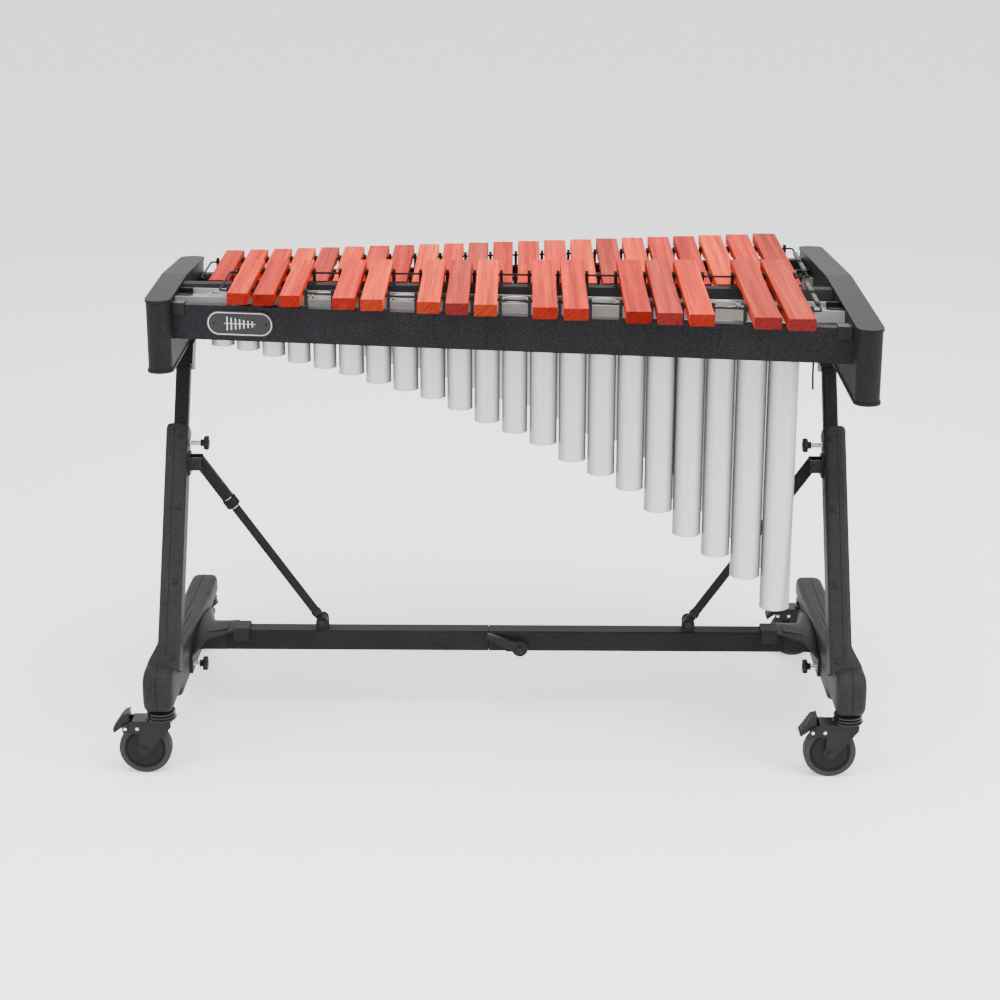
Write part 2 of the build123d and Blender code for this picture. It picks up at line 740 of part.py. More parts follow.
def foot_keel(side):
    """The deeper cover under a foot, which stays clear of both casters' circles."""
    with BuildPart() as keel:
        with BuildSketch(Plane.YZ.offset(side * LEG_X)):
            with BuildLine():
                Polyline(
                    (-252, FOOT_BOTTOM),
                    (-243, FOOT_KEEL),
                    (149, FOOT_KEEL),
                    (158, FOOT_BOTTOM),
                    close=True,
                )
            make_face()
        extrude(amount=FOOT_HALF - KEEL_INSET, both=True)
        fillet(keel.edges().group_by(Axis.Z)[0].filter_by(Axis.Y), radius=FOOT_EASE)
    return keel.part


save(group([foot_shell(-1), foot_keel(-1)]), "high_foot")
save(group([foot_shell(1), foot_keel(1)]), "low_foot")

BAR_END = 560.0                         # each end stops inside its sleeve
BAR_WALL = 3.0


def base_bar(x_low, x_high):
    """A square steel tube with eased edges, along X."""
    with BuildPart() as bar:
        with BuildSketch(Plane(origin=(x_low, BAR_Y, BAR_MID_Z), x_dir=(0, 1, 0), z_dir=(1, 0, 0))):
            RectangleRounded(BAR_SIDE, BAR_SIDE, 5)
            RectangleRounded(BAR_SIDE - 2 * BAR_WALL, BAR_SIDE - 2 * BAR_WALL, 2.5, mode=Mode.SUBTRACT)
        extrude(amount=x_high - x_low)
    return bar


save(base_bar(-BAR_END, SEAM_X - SEAM_GAP / 2), "base_bar_high")
save(base_bar(SEAM_X + SEAM_GAP / 2, BAR_END), "base_bar_low")

JOINER_HALF = 90.0
joiner_start = (SEAM_X - JOINER_HALF, BAR_Y, BAR_MID_Z)
with BuildPart() as bar_joiner:
    with BuildSketch(Plane(origin=joiner_start, x_dir=(0, 1, 0), z_dir=(1, 0, 0))):
        RectangleRounded(BAR_SIDE - 2 * BAR_WALL, BAR_SIDE - 2 * BAR_WALL, 2.5)
        Rectangle(BAR_SIDE - 6 * BAR_WALL, BAR_SIDE - 6 * BAR_WALL, mode=Mode.SUBTRACT)
    extrude(amount=2 * JOINER_HALF)
save(bar_joiner, "bar_joiner")

SLEEVE_START = 514.0
COLLAR_END = 546.0
SLEEVE_SIDE = 52.0
SHEET_THICK = 4.0
FLANGE_THICK = 5.0
FLANGE_BOTTOM = 119.0
WEB_BOTTOM = 140.0
FLANGE_TOP = ((-157, 153), (-100, 164), (-37, 169), (30, 167), (90, 158), (182, 127))
SLEEVE_TOP = BAR_MID_Z + SLEEVE_SIDE / 2
FOOT_KNOB_Y = -146.0
FOOT_KNOB_Z = 137.0
KNOB_SCREW = 5.0


def arch_band(x, arch):
    """A section of the curved sheet, square to X: an arch through some points, as thick as the sheet."""
    lower = [(y, z - SHEET_THICK) for y, z in arch]
    with BuildSketch(Plane.YZ.offset(x)) as band:
        with BuildLine():
            Spline(*arch)
            Line(arch[-1], lower[-1])
            Spline(*reversed(lower))
            Line(lower[0], arch[0])
        make_face()
    return band.sketch


def bar_sleeve():
    """The casting at the bar's high end: a collar, a sheet that flares and droops, and a flange."""
    side = -1
    root = LEG_X - FOOT_HALF - 0.1
    narrow = [(BAR_Y + SLEEVE_SIDE * (i / 5 - 0.5), SLEEVE_TOP) for i in range(6)]
    middle = [(0.75 * a[0] + 0.25 * b[0], 0.6 * a[1] + 0.4 * b[1]) for a, b in zip(narrow, FLANGE_TOP)]
    with BuildPart() as sleeve:
        with BuildSketch(Plane.YZ.offset(side * SLEEVE_START)):
            with Locations((BAR_Y, BAR_MID_Z)):
                RectangleRounded(SLEEVE_SIDE, SLEEVE_SIDE, 6)
        extrude(amount=side * (COLLAR_END - SLEEVE_START))
        loft([arch_band(side * (COLLAR_END - 8), narrow), arch_band(side * 596, middle)])
        loft([arch_band(side * 596, middle), arch_band(side * root, FLANGE_TOP)])
        with BuildSketch(Plane.YZ.offset(side * root)):
            with BuildLine():
                Spline(*FLANGE_TOP)
                Line(FLANGE_TOP[-1], (FLANGE_TOP[-1][0], FLANGE_BOTTOM))
                Line((FLANGE_TOP[-1][0], FLANGE_BOTTOM), (FLANGE_TOP[0][0], FLANGE_BOTTOM))
                Line((FLANGE_TOP[0][0], FLANGE_BOTTOM), FLANGE_TOP[0])
            make_face()
        extrude(amount=-side * FLANGE_THICK)
        with BuildSketch(Plane.XZ.offset(-BAR_Y)):
            with BuildLine():
                Polyline(
                    (side * (BAR_END - 2), WEB_BOTTOM),
                    (side * root, WEB_BOTTOM),
                    (side * root, FLANGE_TOP[1][1] - 1),
                    (side * 596, middle[2][1] - 1),
                    (side * (BAR_END - 2), SLEEVE_TOP - 1),
                    close=True,
                )
            make_face()
        extrude(amount=BAR_SIDE / 2 - 1, both=True)
        with Locations((side * SLEEVE_START, BAR_Y, BAR_MID_Z)):
            Box(2 * (BAR_END + 0.3 - SLEEVE_START), BAR_SIDE, BAR_SIDE, mode=Mode.SUBTRACT)
            skirt = SLEEVE_SIDE / 2 + 10
            with Locations((0, 0, -skirt)):
                Box(2 * (COLLAR_END + 1 - SLEEVE_START), 2 * SLEEVE_SIDE, 2 * skirt, mode=Mode.SUBTRACT)
        with Locations((side * root, FOOT_KNOB_Y, FOOT_KNOB_Z)):
            Cylinder(KNOB_SCREW + RUNNING_GAP, 4 * FLANGE_THICK, rotation=(0, 90, 0), mode=Mode.SUBTRACT)
    return sleeve.part


high_sleeve = bar_sleeve()
save(group([high_sleeve]), "high_bar_sleeve")
save(group([mirror(high_sleeve, about=Plane.YZ)]), "low_bar_sleeve")


# ---------------------------------------------------------------- knobs
KNOB_RADIUS = 13.0


def star_knob(tip, side, reach, screw_radius):
    """A six-lobed knob on a screw along X: the tip is the screw's end, and reach its length."""
    away = Vector(-side, 0, 0)
    face = Plane(origin=tip + away * reach, x_dir=(0, 1, 0), z_dir=away)
    with BuildPart() as knob:
        with BuildSketch(face):
            Circle(KNOB_RADIUS)
            with PolarLocations(KNOB_RADIUS + 1.5, 6):
                Circle(3.6, mode=Mode.SUBTRACT)
        extrude(amount=11)
        with BuildSketch(face):
            Circle(8)
        extrude(amount=-6)
        with BuildSketch(face):
            Circle(screw_radius)
        extrude(amount=-reach)
    return knob


HEIGHT_KNOB_ALONG = 400.0
height_place = LEG_FOOT + LEG_AXIS * HEIGHT_KNOB_ALONG
INNER_FACE = CASING_X - CASING_WIDTH / 2
for side, name in ((-1, "high"), (1, "low")):
    boss_end = Vector(side * (INNER_FACE - 0.4), height_place.Y, height_place.Z)
    save(star_knob(boss_end, side, 28.0, KNOB_SCREW), f"{name}_height_knob")
    foot_end = Vector(side * (LEG_X - FOOT_HALF - 0.4), FOOT_KNOB_Y, FOOT_KNOB_Z)
    save(star_knob(foot_end, side, 24.0, KNOB_SCREW), f"{name}_foot_knob")


# ---------------------------------------------------------------- braces
BRACE_ROD = 8.8
PIN_RADIUS = 4.0
EAR_THICK = 4.0
EYE_THICK = 20.0
EAR_GAP = 24.0


def mirrored(point, side):
    """A point given for the low end, on either side."""
    return Vector(side * point.X, point.Y, point.Z)


def brace_clevis(side):
    """Two ears and a pin on the base bar, for the foot of a brace."""
    pivot = mirrored(BRACE_FOOT, side)
    bar_top = BAR_MID_Z + BAR_SIDE / 2
    with BuildPart() as clevis:
        with BuildSketch(Plane(origin=(pivot.X, BAR_Y, 0), x_dir=(1, 0, 0), z_dir=(0, -1, 0))):
            with Locations((0, pivot.Z)):
                Circle(12)
            with Locations((0, (pivot.Z + bar_top) / 2)):
                Rectangle(24, pivot.Z - bar_top)
        extrude(amount=EAR_GAP / 2 + EAR_THICK, both=True)
        with Locations((pivot.X, BAR_Y, pivot.Z + 2)):
            Box(80, EAR_GAP, 2 * (pivot.Z - bar_top), mode=Mode.SUBTRACT)
    pin_half = Vector(0, EAR_GAP / 2 + EAR_THICK + 1, 0)
    pin = rod(pivot - pin_half, pivot + pin_half, PIN_RADIUS)
    with BuildPart() as drilled:
        add(clevis.part)
        add(pin, mode=Mode.SUBTRACT)
    return [drilled.part, pin]


save(group(brace_clevis(-1) + brace_clevis(1)), "brace_clevises")

COLLAR_ALONG = 0.72
LINK_ALONG = 0.765
COLLAR_RADIUS = 14.0


def brace(side):
    """A brace: an eye on the clevis pin, a round rod, and a flat link that hooks on the leg."""
    foot = mirrored(BRACE_FOOT, side)
    head = mirrored(BRACE_HEAD, side)
    run = head - foot
    length = run.length
    along = run * (1 / length)
    link_width = Vector(0, 1, 0).cross(along)
    with BuildPart() as eye:
        eye_start = foot - Vector(0, EYE_THICK / 2, 0)
        with BuildSketch(Plane(origin=eye_start, x_dir=(1, 0, 0), z_dir=(0, 1, 0))):
            Circle(10.5)
            Circle(PIN_RADIUS + RUNNING_GAP, mode=Mode.SUBTRACT)
        extrude(amount=EYE_THICK)
        with BuildSketch(Plane(origin=foot + along * 9, z_dir=along)):
            Circle(BRACE_ROD)
        extrude(amount=length * COLLAR_ALONG - 9)
        with BuildSketch(Plane(origin=foot + along * length * COLLAR_ALONG, z_dir=along)):
            Circle(7.5)
        extrude(amount=length * (LINK_ALONG - COLLAR_ALONG) + 14)
        with BuildSketch(Plane(origin=foot + along * length * LINK_ALONG, x_dir=link_width, z_dir=along)):
            RectangleRounded(23, 15, 3)
        extrude(amount=length * (1 - LINK_ALONG))
        with Locations(foot):
            Cylinder(PIN_RADIUS + RUNNING_GAP, 60, rotation=(90, 0, 0), mode=Mode.SUBTRACT)
    return eye


def brace_collar(side):
    """The knurled clamping collar that locks a brace's length."""
    foot = mirrored(BRACE_FOOT, side)
    head = mirrored(BRACE_HEAD, side)
    run = head - foot
    length = run.length
    along = run * (1 / length)
    start = foot + along * (length * COLLAR_ALONG + 0.4)
    height = length * (LINK_ALONG - COLLAR_ALONG) - 0.8
    with BuildPart() as collar:
        with BuildSketch(Plane(origin=start, z_dir=along)):
            Circle(COLLAR_RADIUS)
            with PolarLocations(COLLAR_RADIUS, 12):
                Circle(1.6, mode=Mode.SUBTRACT)
            Circle(7.5 + RUNNING_GAP, mode=Mode.SUBTRACT)
        extrude(amount=height)
    return collar


for side, name in ((-1, "high"), (1, "low")):
    save(brace(side), f"{name}_brace")
    save(brace_collar(side), f"{name}_brace_collar")


BRACKET_THICK = 4.0


def brace_bracket(side):
    """The plate on a leg that the head of a brace hooks against."""
    head = mirrored(BRACE_HEAD, side)
    reach = INNER_FACE - BRACE_HEAD.X
    plate_centre = (side * INNER_FACE, head.Y, head.Z - 8)
    with BuildPart() as bracket:
        with BuildSketch(Plane(origin=plate_centre, x_dir=(0, 1, 0), z_dir=(-side, 0, 0))):
            RectangleRounded(36, 42, 4)
        extrude(amount=BRACKET_THICK)
        for offset in (-13, 13):
            with Locations((side * (INNER_FACE - reach / 2 - 4), head.Y + offset, head.Z - 6)):
                Box(reach + 8, 3, 26)
    return bracket.part


save(group([brace_bracket(-1), brace_bracket(1)]), "brace_brackets")


# ---------------------------------------------------------------- cam lever of the base bar
CAM_X = 30.0
CAM_Z = 150.0
CAM_PIN = 5.0
BAR_FACE = BAR_Y - BAR_SIDE / 2
with BuildPart() as cam_bracket:
    with BuildSketch(Plane(origin=(CAM_X, BAR_FACE, CAM_Z), x_dir=(1, 0, 0), z_dir=(0, -1, 0))):
        Circle(13)
        with Locations((-14, 0)):
            Rectangle(28, 20)
    extrude(amount=4)
cam_pin = rod(Vector(CAM_X, BAR_FACE - 4, CAM_Z), Vector(CAM_X, BAR_FACE - 18, CAM_Z), CAM_PIN)
save(group([cam_bracket.part, cam_pin]), "cam_bracket")

with BuildPart() as cam_lever:
    with BuildSketch(Plane(origin=(CAM_X, BAR_FACE - 4.4, CAM_Z), x_dir=(1, 0, 0), z_dir=(0, -1, 0))):
        with BuildLine():
            Line((-6, 14), (-62, 31))
            ThreePointArc((-62, 31), (-67, 26), (-63, 21))
            Line((-63, 21), (-14, -6))
            Line((-14, -6), (-6, 14))
        make_face()
        Circle(15.5)
        Circle(CAM_PIN + RUNNING_GAP, mode=Mode.SUBTRACT)
    extrude(amount=12)
save(cam_lever, "cam_lever")


# ---------------------------------------------------------------- casters
FORK_INNER = 16.5
FORK_WALL = 3.5
PLATE_Z = 106.0
RACE_RADIUS = 28.0
PEDAL_PIN = Vector(-30.0, 0, 101.0)
PEDAL_PIN_RADIUS = 3.0


def caster_fork(x, y):
    """Swivel stem, ball race, pressed fork, and the axle and pedal pins that it carries."""
    wheel_x = x - TRAIL
    with BuildPart() as race:
        with Locations((x, y, PLATE_Z + 4)):
            Cylinder(RACE_RADIUS - 2, 8, align=(Align.CENTER, Align.CENTER, Align.MIN))
            Cylinder(RACE_RADIUS, 4, align=(Align.CENTER, Align.CENTER, Align.MIN))
            race_height = FOOT_BOTTOM - 0.4 - PLATE_Z - 4
            Cylinder(RACE_RADIUS - 6, race_height, align=(Align.CENTER, Align.CENTER, Align.MIN))
            stem_height = FOOT_BOTTOM - PLATE_Z - 4 + STEM_DEPTH - 1
            Cylinder(STEM_RADIUS, stem_height, align=(Align.CENTER, Align.CENTER, Align.MIN))
    with BuildPart() as fork:
        near_side = (wheel_x, y - FORK_INNER - FORK_WALL, 0)
        with BuildSketch(Plane(origin=near_side, x_dir=(1, 0, 0), z_dir=(0, -1, 0))):
            with BuildLine():
                Line((-9, 47), (-9, 84))
                Line((-9, 84), (-40, 86))
                Line((-40, 86), (-42, 100))
                Line((-42, 100), (-22, PLATE_Z + 4))
                Line((-22, PLATE_Z + 4), (52, PLATE_Z + 4))
                Line((52, PLATE_Z + 4), (52, 98))
                Line((52, 98), (10, 46))
                ThreePointArc((10, 46), (0, 38), (-9, 47))
            make_face()
        extrude(amount=-2 * (FORK_INNER + FORK_WALL))
        with BuildSketch(Plane(origin=(wheel_x, y - FORK_INNER, 0), x_dir=(1, 0, 0), z_dir=(0, -1, 0))):
            with Locations((0, PLATE_Z / 2 - 10)):
                Rectangle(200, PLATE_Z + 20)
            with Locations((-62, PLATE_Z)):
                Rectangle(80, 20)
        extrude(amount=-2 * FORK_INNER, mode=Mode.SUBTRACT)
    axle_middle = Vector(wheel_x, y, WHEEL_RADIUS)
    axle_half = Vector(0, FORK_INNER + FORK_WALL + 2.5, 0)
    axle = rod(axle_middle - axle_half, axle_middle + axle_half, AXLE_RADIUS)
    pin_middle = Vector(wheel_x, y, 0) + PEDAL_PIN
    pin_half = Vector(0, FORK_INNER + FORK_WALL + 1.6, 0)
    pin = rod(pin_middle - pin_half, pin_middle + pin_half, PEDAL_PIN_RADIUS)
    with BuildPart() as drilled:
        add(fork.part)
        add([axle, pin], mode=Mode.SUBTRACT)
    return [race.part, drilled.part, axle, pin]


def caster_wheel(x, y):
    """A rubber tyre on a dished hub."""
    wheel_x = x - TRAIL
    rim = 37.0
    spin = Plane(origin=(wheel_x, y, WHEEL_RADIUS), x_dir=(1, 0, 0), z_dir=(0, -1, 0))
    with BuildPart() as tyre:
        with BuildSketch(Plane((wheel_x, y, WHEEL_RADIUS))):
            with Locations(((rim + WHEEL_RADIUS) / 2, 0)):
                RectangleRounded(WHEEL_RADIUS - rim, 2 * WHEEL_HALF, 4.5)
        revolve(axis=Axis((wheel_x, y, WHEEL_RADIUS), (0, 1, 0)))
    with BuildPart() as hub:
        with BuildSketch(spin):
            Circle(rim)
            Circle(AXLE_RADIUS + RUNNING_GAP, mode=Mode.SUBTRACT)
        extrude(amount=WHEEL_HALF - 2, both=True)
        with BuildSketch(spin.offset(5)):
            Circle(rim - 4)
            Circle(13, mode=Mode.SUBTRACT)
        extrude(amount=20, mode=Mode.SUBTRACT)
        with BuildSketch(spin.offset(-5)):
            Circle(rim - 4)
            Circle(13, mode=Mode.SUBTRACT)
        extrude(amount=-20, mode=Mode.SUBTRACT)
        with BuildSketch(spin):
            Circle(12)
            Circle(AXLE_RADIUS + RUNNING_GAP, mode=Mode.SUBTRACT)
        extrude(amount=FORK_INNER - 0.6, both=True)
    return [tyre.part, hub.part]


def brake_pedal(x, y):
    """The foot pedal of a caster's brake: a hub on its pin and a ribbed plate over the tyre."""
    wheel_x = x - TRAIL
    half = FORK_INNER - 1
    with BuildPart() as pedal:
        with BuildSketch(Plane(origin=(wheel_x, y, 0), x_dir=(1, 0, 0), z_dir=(0, -1, 0))):
            with BuildLine():
                Polyline(
                    (-57, 84),
                    (-PEDAL_REACH, 89),
                    (-38, 122),
                    (-27, 125.5),
                    (-29, 119),
                    (-26, 104),
                    (-34, 97),
                    (-40, 97),
                    close=True,
                )
            make_face()
            with Locations((PEDAL_PIN.X, PEDAL_PIN.Z)):
                Circle(5.5)
                Circle(PEDAL_PIN_RADIUS + RUNNING_GAP, mode=Mode.SUBTRACT)
        extrude(amount=half, both=True)
    return pedal


for side, end in ((-1, "high"), (1, "low")):
    for row, caster_y in CASTER_Y.items():
        save(group(caster_fork(side * LEG_X, caster_y)), f"{end}_{row}_caster_fork")
        save(group(caster_wheel(side * LEG_X, caster_y)), f"{end}_{row}_wheel")
        save(brake_pedal(side * LEG_X, caster_y), f"{end}_{row}_brake_pedal")
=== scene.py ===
"""Looks of the concert marimba: node materials, the fine trim that CAD leaves plain, and a studio."""

from math import cos, pi, radians, sin

import bpy
from mathutils import Matrix, Vector


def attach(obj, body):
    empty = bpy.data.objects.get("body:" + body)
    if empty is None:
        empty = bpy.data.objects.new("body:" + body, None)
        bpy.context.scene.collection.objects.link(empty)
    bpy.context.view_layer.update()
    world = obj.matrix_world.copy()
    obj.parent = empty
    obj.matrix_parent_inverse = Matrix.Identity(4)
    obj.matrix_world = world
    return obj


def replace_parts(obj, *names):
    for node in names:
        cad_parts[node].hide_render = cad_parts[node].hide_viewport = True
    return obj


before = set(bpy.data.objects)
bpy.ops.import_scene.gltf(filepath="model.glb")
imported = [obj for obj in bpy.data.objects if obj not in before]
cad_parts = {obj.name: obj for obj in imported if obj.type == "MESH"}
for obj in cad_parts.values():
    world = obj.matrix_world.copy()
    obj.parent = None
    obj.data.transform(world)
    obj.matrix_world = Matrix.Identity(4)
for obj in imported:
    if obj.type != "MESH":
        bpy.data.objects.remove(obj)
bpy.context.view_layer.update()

SHIFT = Vector((37.5, -7.848, 0.0))     # from the keyboard's own drawing to the model's frame, in mm


def at(x, y, z):
    """A point drawn about the keyboard's middle, in mm, as metres in the model's frame."""
    return (Vector((x, y, z)) + SHIFT) / 1000


# ---------------------------------------------------------------- where the bars lie
NATURAL_WIDTHS = [38.0] * 5 + [41.0] * 7 + [44.5] * 7 + [48.0] * 3
BAR_GAP = 10.5
ACCIDENTAL_SLOTS = [1, 2, 3, 5, 6, 8, 9, 10, 12, 13, 15, 16, 17, 19, 20]
edge = -4.0 - (sum(NATURAL_WIDTHS) + BAR_GAP * (len(NATURAL_WIDTHS) - 1)) / 2
NATURAL_X = []
for width in NATURAL_WIDTHS:
    NATURAL_X.append(edge + width / 2)
    edge += width + BAR_GAP
SLOT_X = [(a + b) / 2 for a, b in zip(NATURAL_X, NATURAL_X[1:])]


# ---------------------------------------------------------------- node materials
def new_material(name):
    """An empty node material with a Principled shader, and a helper that adds nodes to it."""
    material = bpy.data.materials.new(name)
    material.use_nodes = True
    tree = material.node_tree
    tree.nodes.clear()
    output = tree.nodes.new("ShaderNodeOutputMaterial")
    shader = tree.nodes.new("ShaderNodeBsdfPrincipled")
    tree.links.new(shader.outputs["BSDF"], output.inputs["Surface"])

    def node(kind, **settings):
        made = tree.nodes.new(kind)
        for key, value in settings.items():
            if hasattr(made, key):
                setattr(made, key, value)
            else:
                made.inputs[key].default_value = value
        return made

    return material, tree, shader, node


def noise(tree, node, vector, stretch, detail=3.0, rough=0.55):
    """A noise value whose grain is stretched by a scale on each axis, in cells per metre."""
    mapping = node("ShaderNodeMapping", Scale=stretch)
    tree.links.new(vector, mapping.inputs["Vector"])
    made = node("ShaderNodeTexNoise", Scale=1.0, Detail=detail, Roughness=rough)
    tree.links.new(mapping.outputs["Vector"], made.inputs["Vector"])
    return made.outputs["Fac"]


def ramp(tree, node, value, stops):
    """A colour ramp through (position, colour) stops."""
    made = node("ShaderNodeValToRGB")
    band = made.color_ramp
    while len(band.elements) < len(stops):
        band.elements.new(0.5)
    for element, (place, colour) in zip(band.elements, stops):
        element.position = place
        element.color = (*colour, 1.0)
    tree.links.new(value, made.inputs["Fac"])
    return made.outputs["Color"]


def mix(tree, node, factor, first, second, blend="MIX"):
    """Two colours mixed by a fixed or a linked factor."""
    made = node("ShaderNodeMix", data_type="RGBA", blend_type=blend)
    if isinstance(factor, float):
        made.inputs["Factor"].default_value = factor
    else:
        tree.links.new(factor, made.inputs["Factor"])
    tree.links.new(first, made.inputs[6])
    tree.links.new(second, made.inputs[7])
    return made.outputs[2]


def surface(name, dark, light, rough, grain=900.0, bump=0.00008, metal=0.0, stretch=(1, 1, 1),
            sheen=0.12, spread=0.09):
    """A finish whose tone and roughness vary a little with a fine grain and a broad mottle."""
    material, tree, shader, node = new_material(name)
    coords = node("ShaderNodeTexCoord").outputs["Object"]
    fine = noise(tree, node, coords, tuple(grain * s for s in stretch), 4.0)
    broad = noise(tree, node, coords, (9.0, 9.0, 9.0), 2.0)
    tone = ramp(tree, node, fine, [(0.3, dark), (0.7, light)])
    mottle = ramp(tree, node, broad, [(0.3, (1.0 - spread,) * 3), (0.7, (1.0 + spread,) * 3)])
    tree.links.new(mix(tree, node, 1.0, tone, mottle, "MULTIPLY"), shader.inputs["Base Color"])
    polish = node("ShaderNodeMapRange", **{"To Min": rough - 0.06, "To Max": rough + 0.06})
    tree.links.new(fine, polish.inputs["Value"])
    tree.links.new(polish.outputs["Result"], shader.inputs["Roughness"])
    relief = node("ShaderNodeBump", Strength=0.5, Distance=bump)
    tree.links.new(fine, relief.inputs["Height"])
    tree.links.new(relief.outputs["Normal"], shader.inputs["Normal"])
    shader.inputs["Metallic"].default_value = metal
    shader.inputs["Specular IOR Level"].default_value = sheen
    return material


def brushed_with_painted_side_shade(name, tone, sides, rough):
    """Drawn aluminium: fine lines along Z, and painted shade: a darker tone where the surface turns to the
    sides.
    """
    material, tree, shader, node = new_material(name)
    coords = node("ShaderNodeTexCoord")
    fine = noise(tree, node, coords.outputs["Object"], (700.0, 700.0, 50.0), 4.0)
    grain = ramp(tree, node, fine, [(0.3, (0.94, 0.94, 0.94)), (0.7, (1.04, 1.04, 1.04))])
    # painted shade: the tones in sides darken the tube where its normal turns along X, standing in for
    # shade on its round sides
    facing = node("ShaderNodeSeparateXYZ")
    tree.links.new(coords.outputs["Normal"], facing.inputs["Vector"])
    across = node("ShaderNodeMath", operation="ABSOLUTE")
    tree.links.new(facing.outputs["X"], across.inputs[0])
    side_shaded_tone = ramp(tree, node, across.outputs["Value"], [(0.35, tone), (0.8, sides[0]), (1.0, sides[1])])
    tree.links.new(mix(tree, node, 1.0, side_shaded_tone, grain, "MULTIPLY"), shader.inputs["Base Color"])
    shader.inputs["Roughness"].default_value = rough
    shader.inputs["Metallic"].default_value = 0.3
    shader.inputs["Specular IOR Level"].default_value = 0.3
    return material


def leather(name, dark, light, rough, cell, depth):
    """Moulded plastic with a pebbled grain."""
    material, tree, shader, node = new_material(name)
    coords = node("ShaderNodeTexCoord").outputs["Object"]
    cells = node("ShaderNodeTexVoronoi", feature="SMOOTH_F1", Scale=cell, Smoothness=0.6)
    tree.links.new(coords, cells.inputs["Vector"])
    broad = noise(tree, node, coords, (14.0, 14.0, 14.0), 3.0)
    tone = ramp(tree, node, cells.outputs["Distance"], [(0.1, light), (0.6, dark)])
    mottle = ramp(tree, node, broad, [(0.3, (0.88, 0.88, 0.88)), (0.7, (1.1, 1.1, 1.1))])
    tree.links.new(mix(tree, node, 1.0, tone, mottle, "MULTIPLY"), shader.inputs["Base Color"])
    relief = node("ShaderNodeBump", Strength=0.6, Distance=depth, invert=True)
    tree.links.new(cells.outputs["Distance"], relief.inputs["Height"])
    tree.links.new(relief.outputs["Normal"], shader.inputs["Normal"])
    shader.inputs["Roughness"].default_value = rough
    shader.inputs["Specular IOR Level"].default_value = 0.07
    return material


# the bars' tints, as factors on red, green and blue
PLAIN = (1.0, 1.0, 0.9)
DARK = (0.72, 0.62, 0.7)
ORANGE = (1.2, 2.0, 1.1)
PURPLE = (0.66, 1.15, 1.9)
SPAN = 1.3                              # metres of keyboard that the bars' tints are laid out over


def padouk(name, edges, tones):
    """Red tropical hardwood: long pores and bands along each bar, dark end grain darkened further with
    painted shade, and a tint for each bar.
    The bars' low edges are given along X, in metres from the keyboard's middle."""
    material, tree, shader, node = new_material(name)
    coords = node("ShaderNodeTexCoord")
    place = coords.outputs["Object"]
    split = node("ShaderNodeSeparateXYZ")
    tree.links.new(place, split.inputs["Vector"])
    middle = SHIFT.x / 1000
    share = node("ShaderNodeMapRange", **{"From Min": middle - SPAN / 2, "From Max": middle + SPAN / 2})
    tree.links.new(split.outputs["X"], share.inputs["Value"])
    tint_node = node("ShaderNodeValToRGB")
    tree.links.new(share.outputs["Result"], tint_node.inputs["Fac"])
    tint_node.color_ramp.interpolation = "CONSTANT"
    stops = tint_node.color_ramp.elements
    while len(stops) < len(edges):
        stops.new(0.5)
    for stop, low_edge, tone in zip(stops, edges, tones):
        stop.position = low_edge / SPAN + 0.5
        stop.color = (*tone, 1.0)
    tints = tint_node.outputs["Color"]
    bands = noise(tree, node, place, (95.0, 1.6, 60.0), 3.0, 0.5)
    streaks = noise(tree, node, place, (620.0, 9.0, 400.0), 4.0, 0.6)
    pores = noise(tree, node, place, (1900.0, 60.0, 1500.0), 2.0, 0.5)
    body = ramp(
        tree,
        node,
        bands,
        [(0.25, (0.27, 0.008, 0.003)), (0.5, (0.50, 0.019, 0.006)), (0.78, (0.72, 0.046, 0.012))],
    )
    lines = ramp(tree, node, streaks, [(0.3, (0.6, 0.5, 0.5)), (0.62, (1.08, 1.06, 1.0))])
    specks = ramp(tree, node, pores, [(0.3, (0.55, 0.4, 0.4)), (0.42, (1.0, 1.0, 1.0))])
    side = mix(tree, node, 1.0, body, lines, "MULTIPLY")
    side = mix(tree, node, 0.7, side, specks, "MULTIPLY")
    side = mix(tree, node, 1.0, side, tints, "MULTIPLY")
    # the ends show the growth rings as slanting bands, in tones kept dark partly as painted shade, for end
    # faces that get less light than the tops
    turned = node("ShaderNodeVectorRotate", rotation_type="AXIS_ANGLE", Axis=(0.0, 1.0, 0.0), Angle=0.7)
    tree.links.new(place, turned.inputs["Vector"])
    rings = noise(tree, node, turned.outputs["Vector"], (60.0, 4.0, 900.0), 3.0, 0.6)
    grain = ramp(tree, node, rings, [(0.3, (0.085, 0.0042, 0.003)), (0.68, (0.22, 0.0125, 0.007))])
    grain = mix(tree, node, 1.0, grain, tints, "MULTIPLY")
    parts = node("ShaderNodeSeparateXYZ")
    tree.links.new(coords.outputs["Normal"], parts.inputs["Vector"])
    facing = node("ShaderNodeMath", operation="ABSOLUTE")
    tree.links.new(parts.outputs["Y"], facing.inputs[0])
    end_grain_and_shade_mask = node("ShaderNodeMath", operation="GREATER_THAN")
    end_grain_and_shade_mask.inputs[1].default_value = 0.8
    tree.links.new(facing.outputs["Value"], end_grain_and_shade_mask.inputs[0])
    tree.links.new(mix(tree, node, end_grain_and_shade_mask.outputs["Value"], side, grain), shader.inputs["Base Color"])
    relief = node("ShaderNodeBump", Strength=0.35, Distance=0.00012)
    tree.links.new(streaks, relief.inputs["Height"])
    tree.links.new(relief.outputs["Normal"], shader.inputs["Normal"])
    shader.inputs["Roughness"].default_value = 0.55
    shader.inputs["Specular IOR Level"].default_value = 0.03
    return material


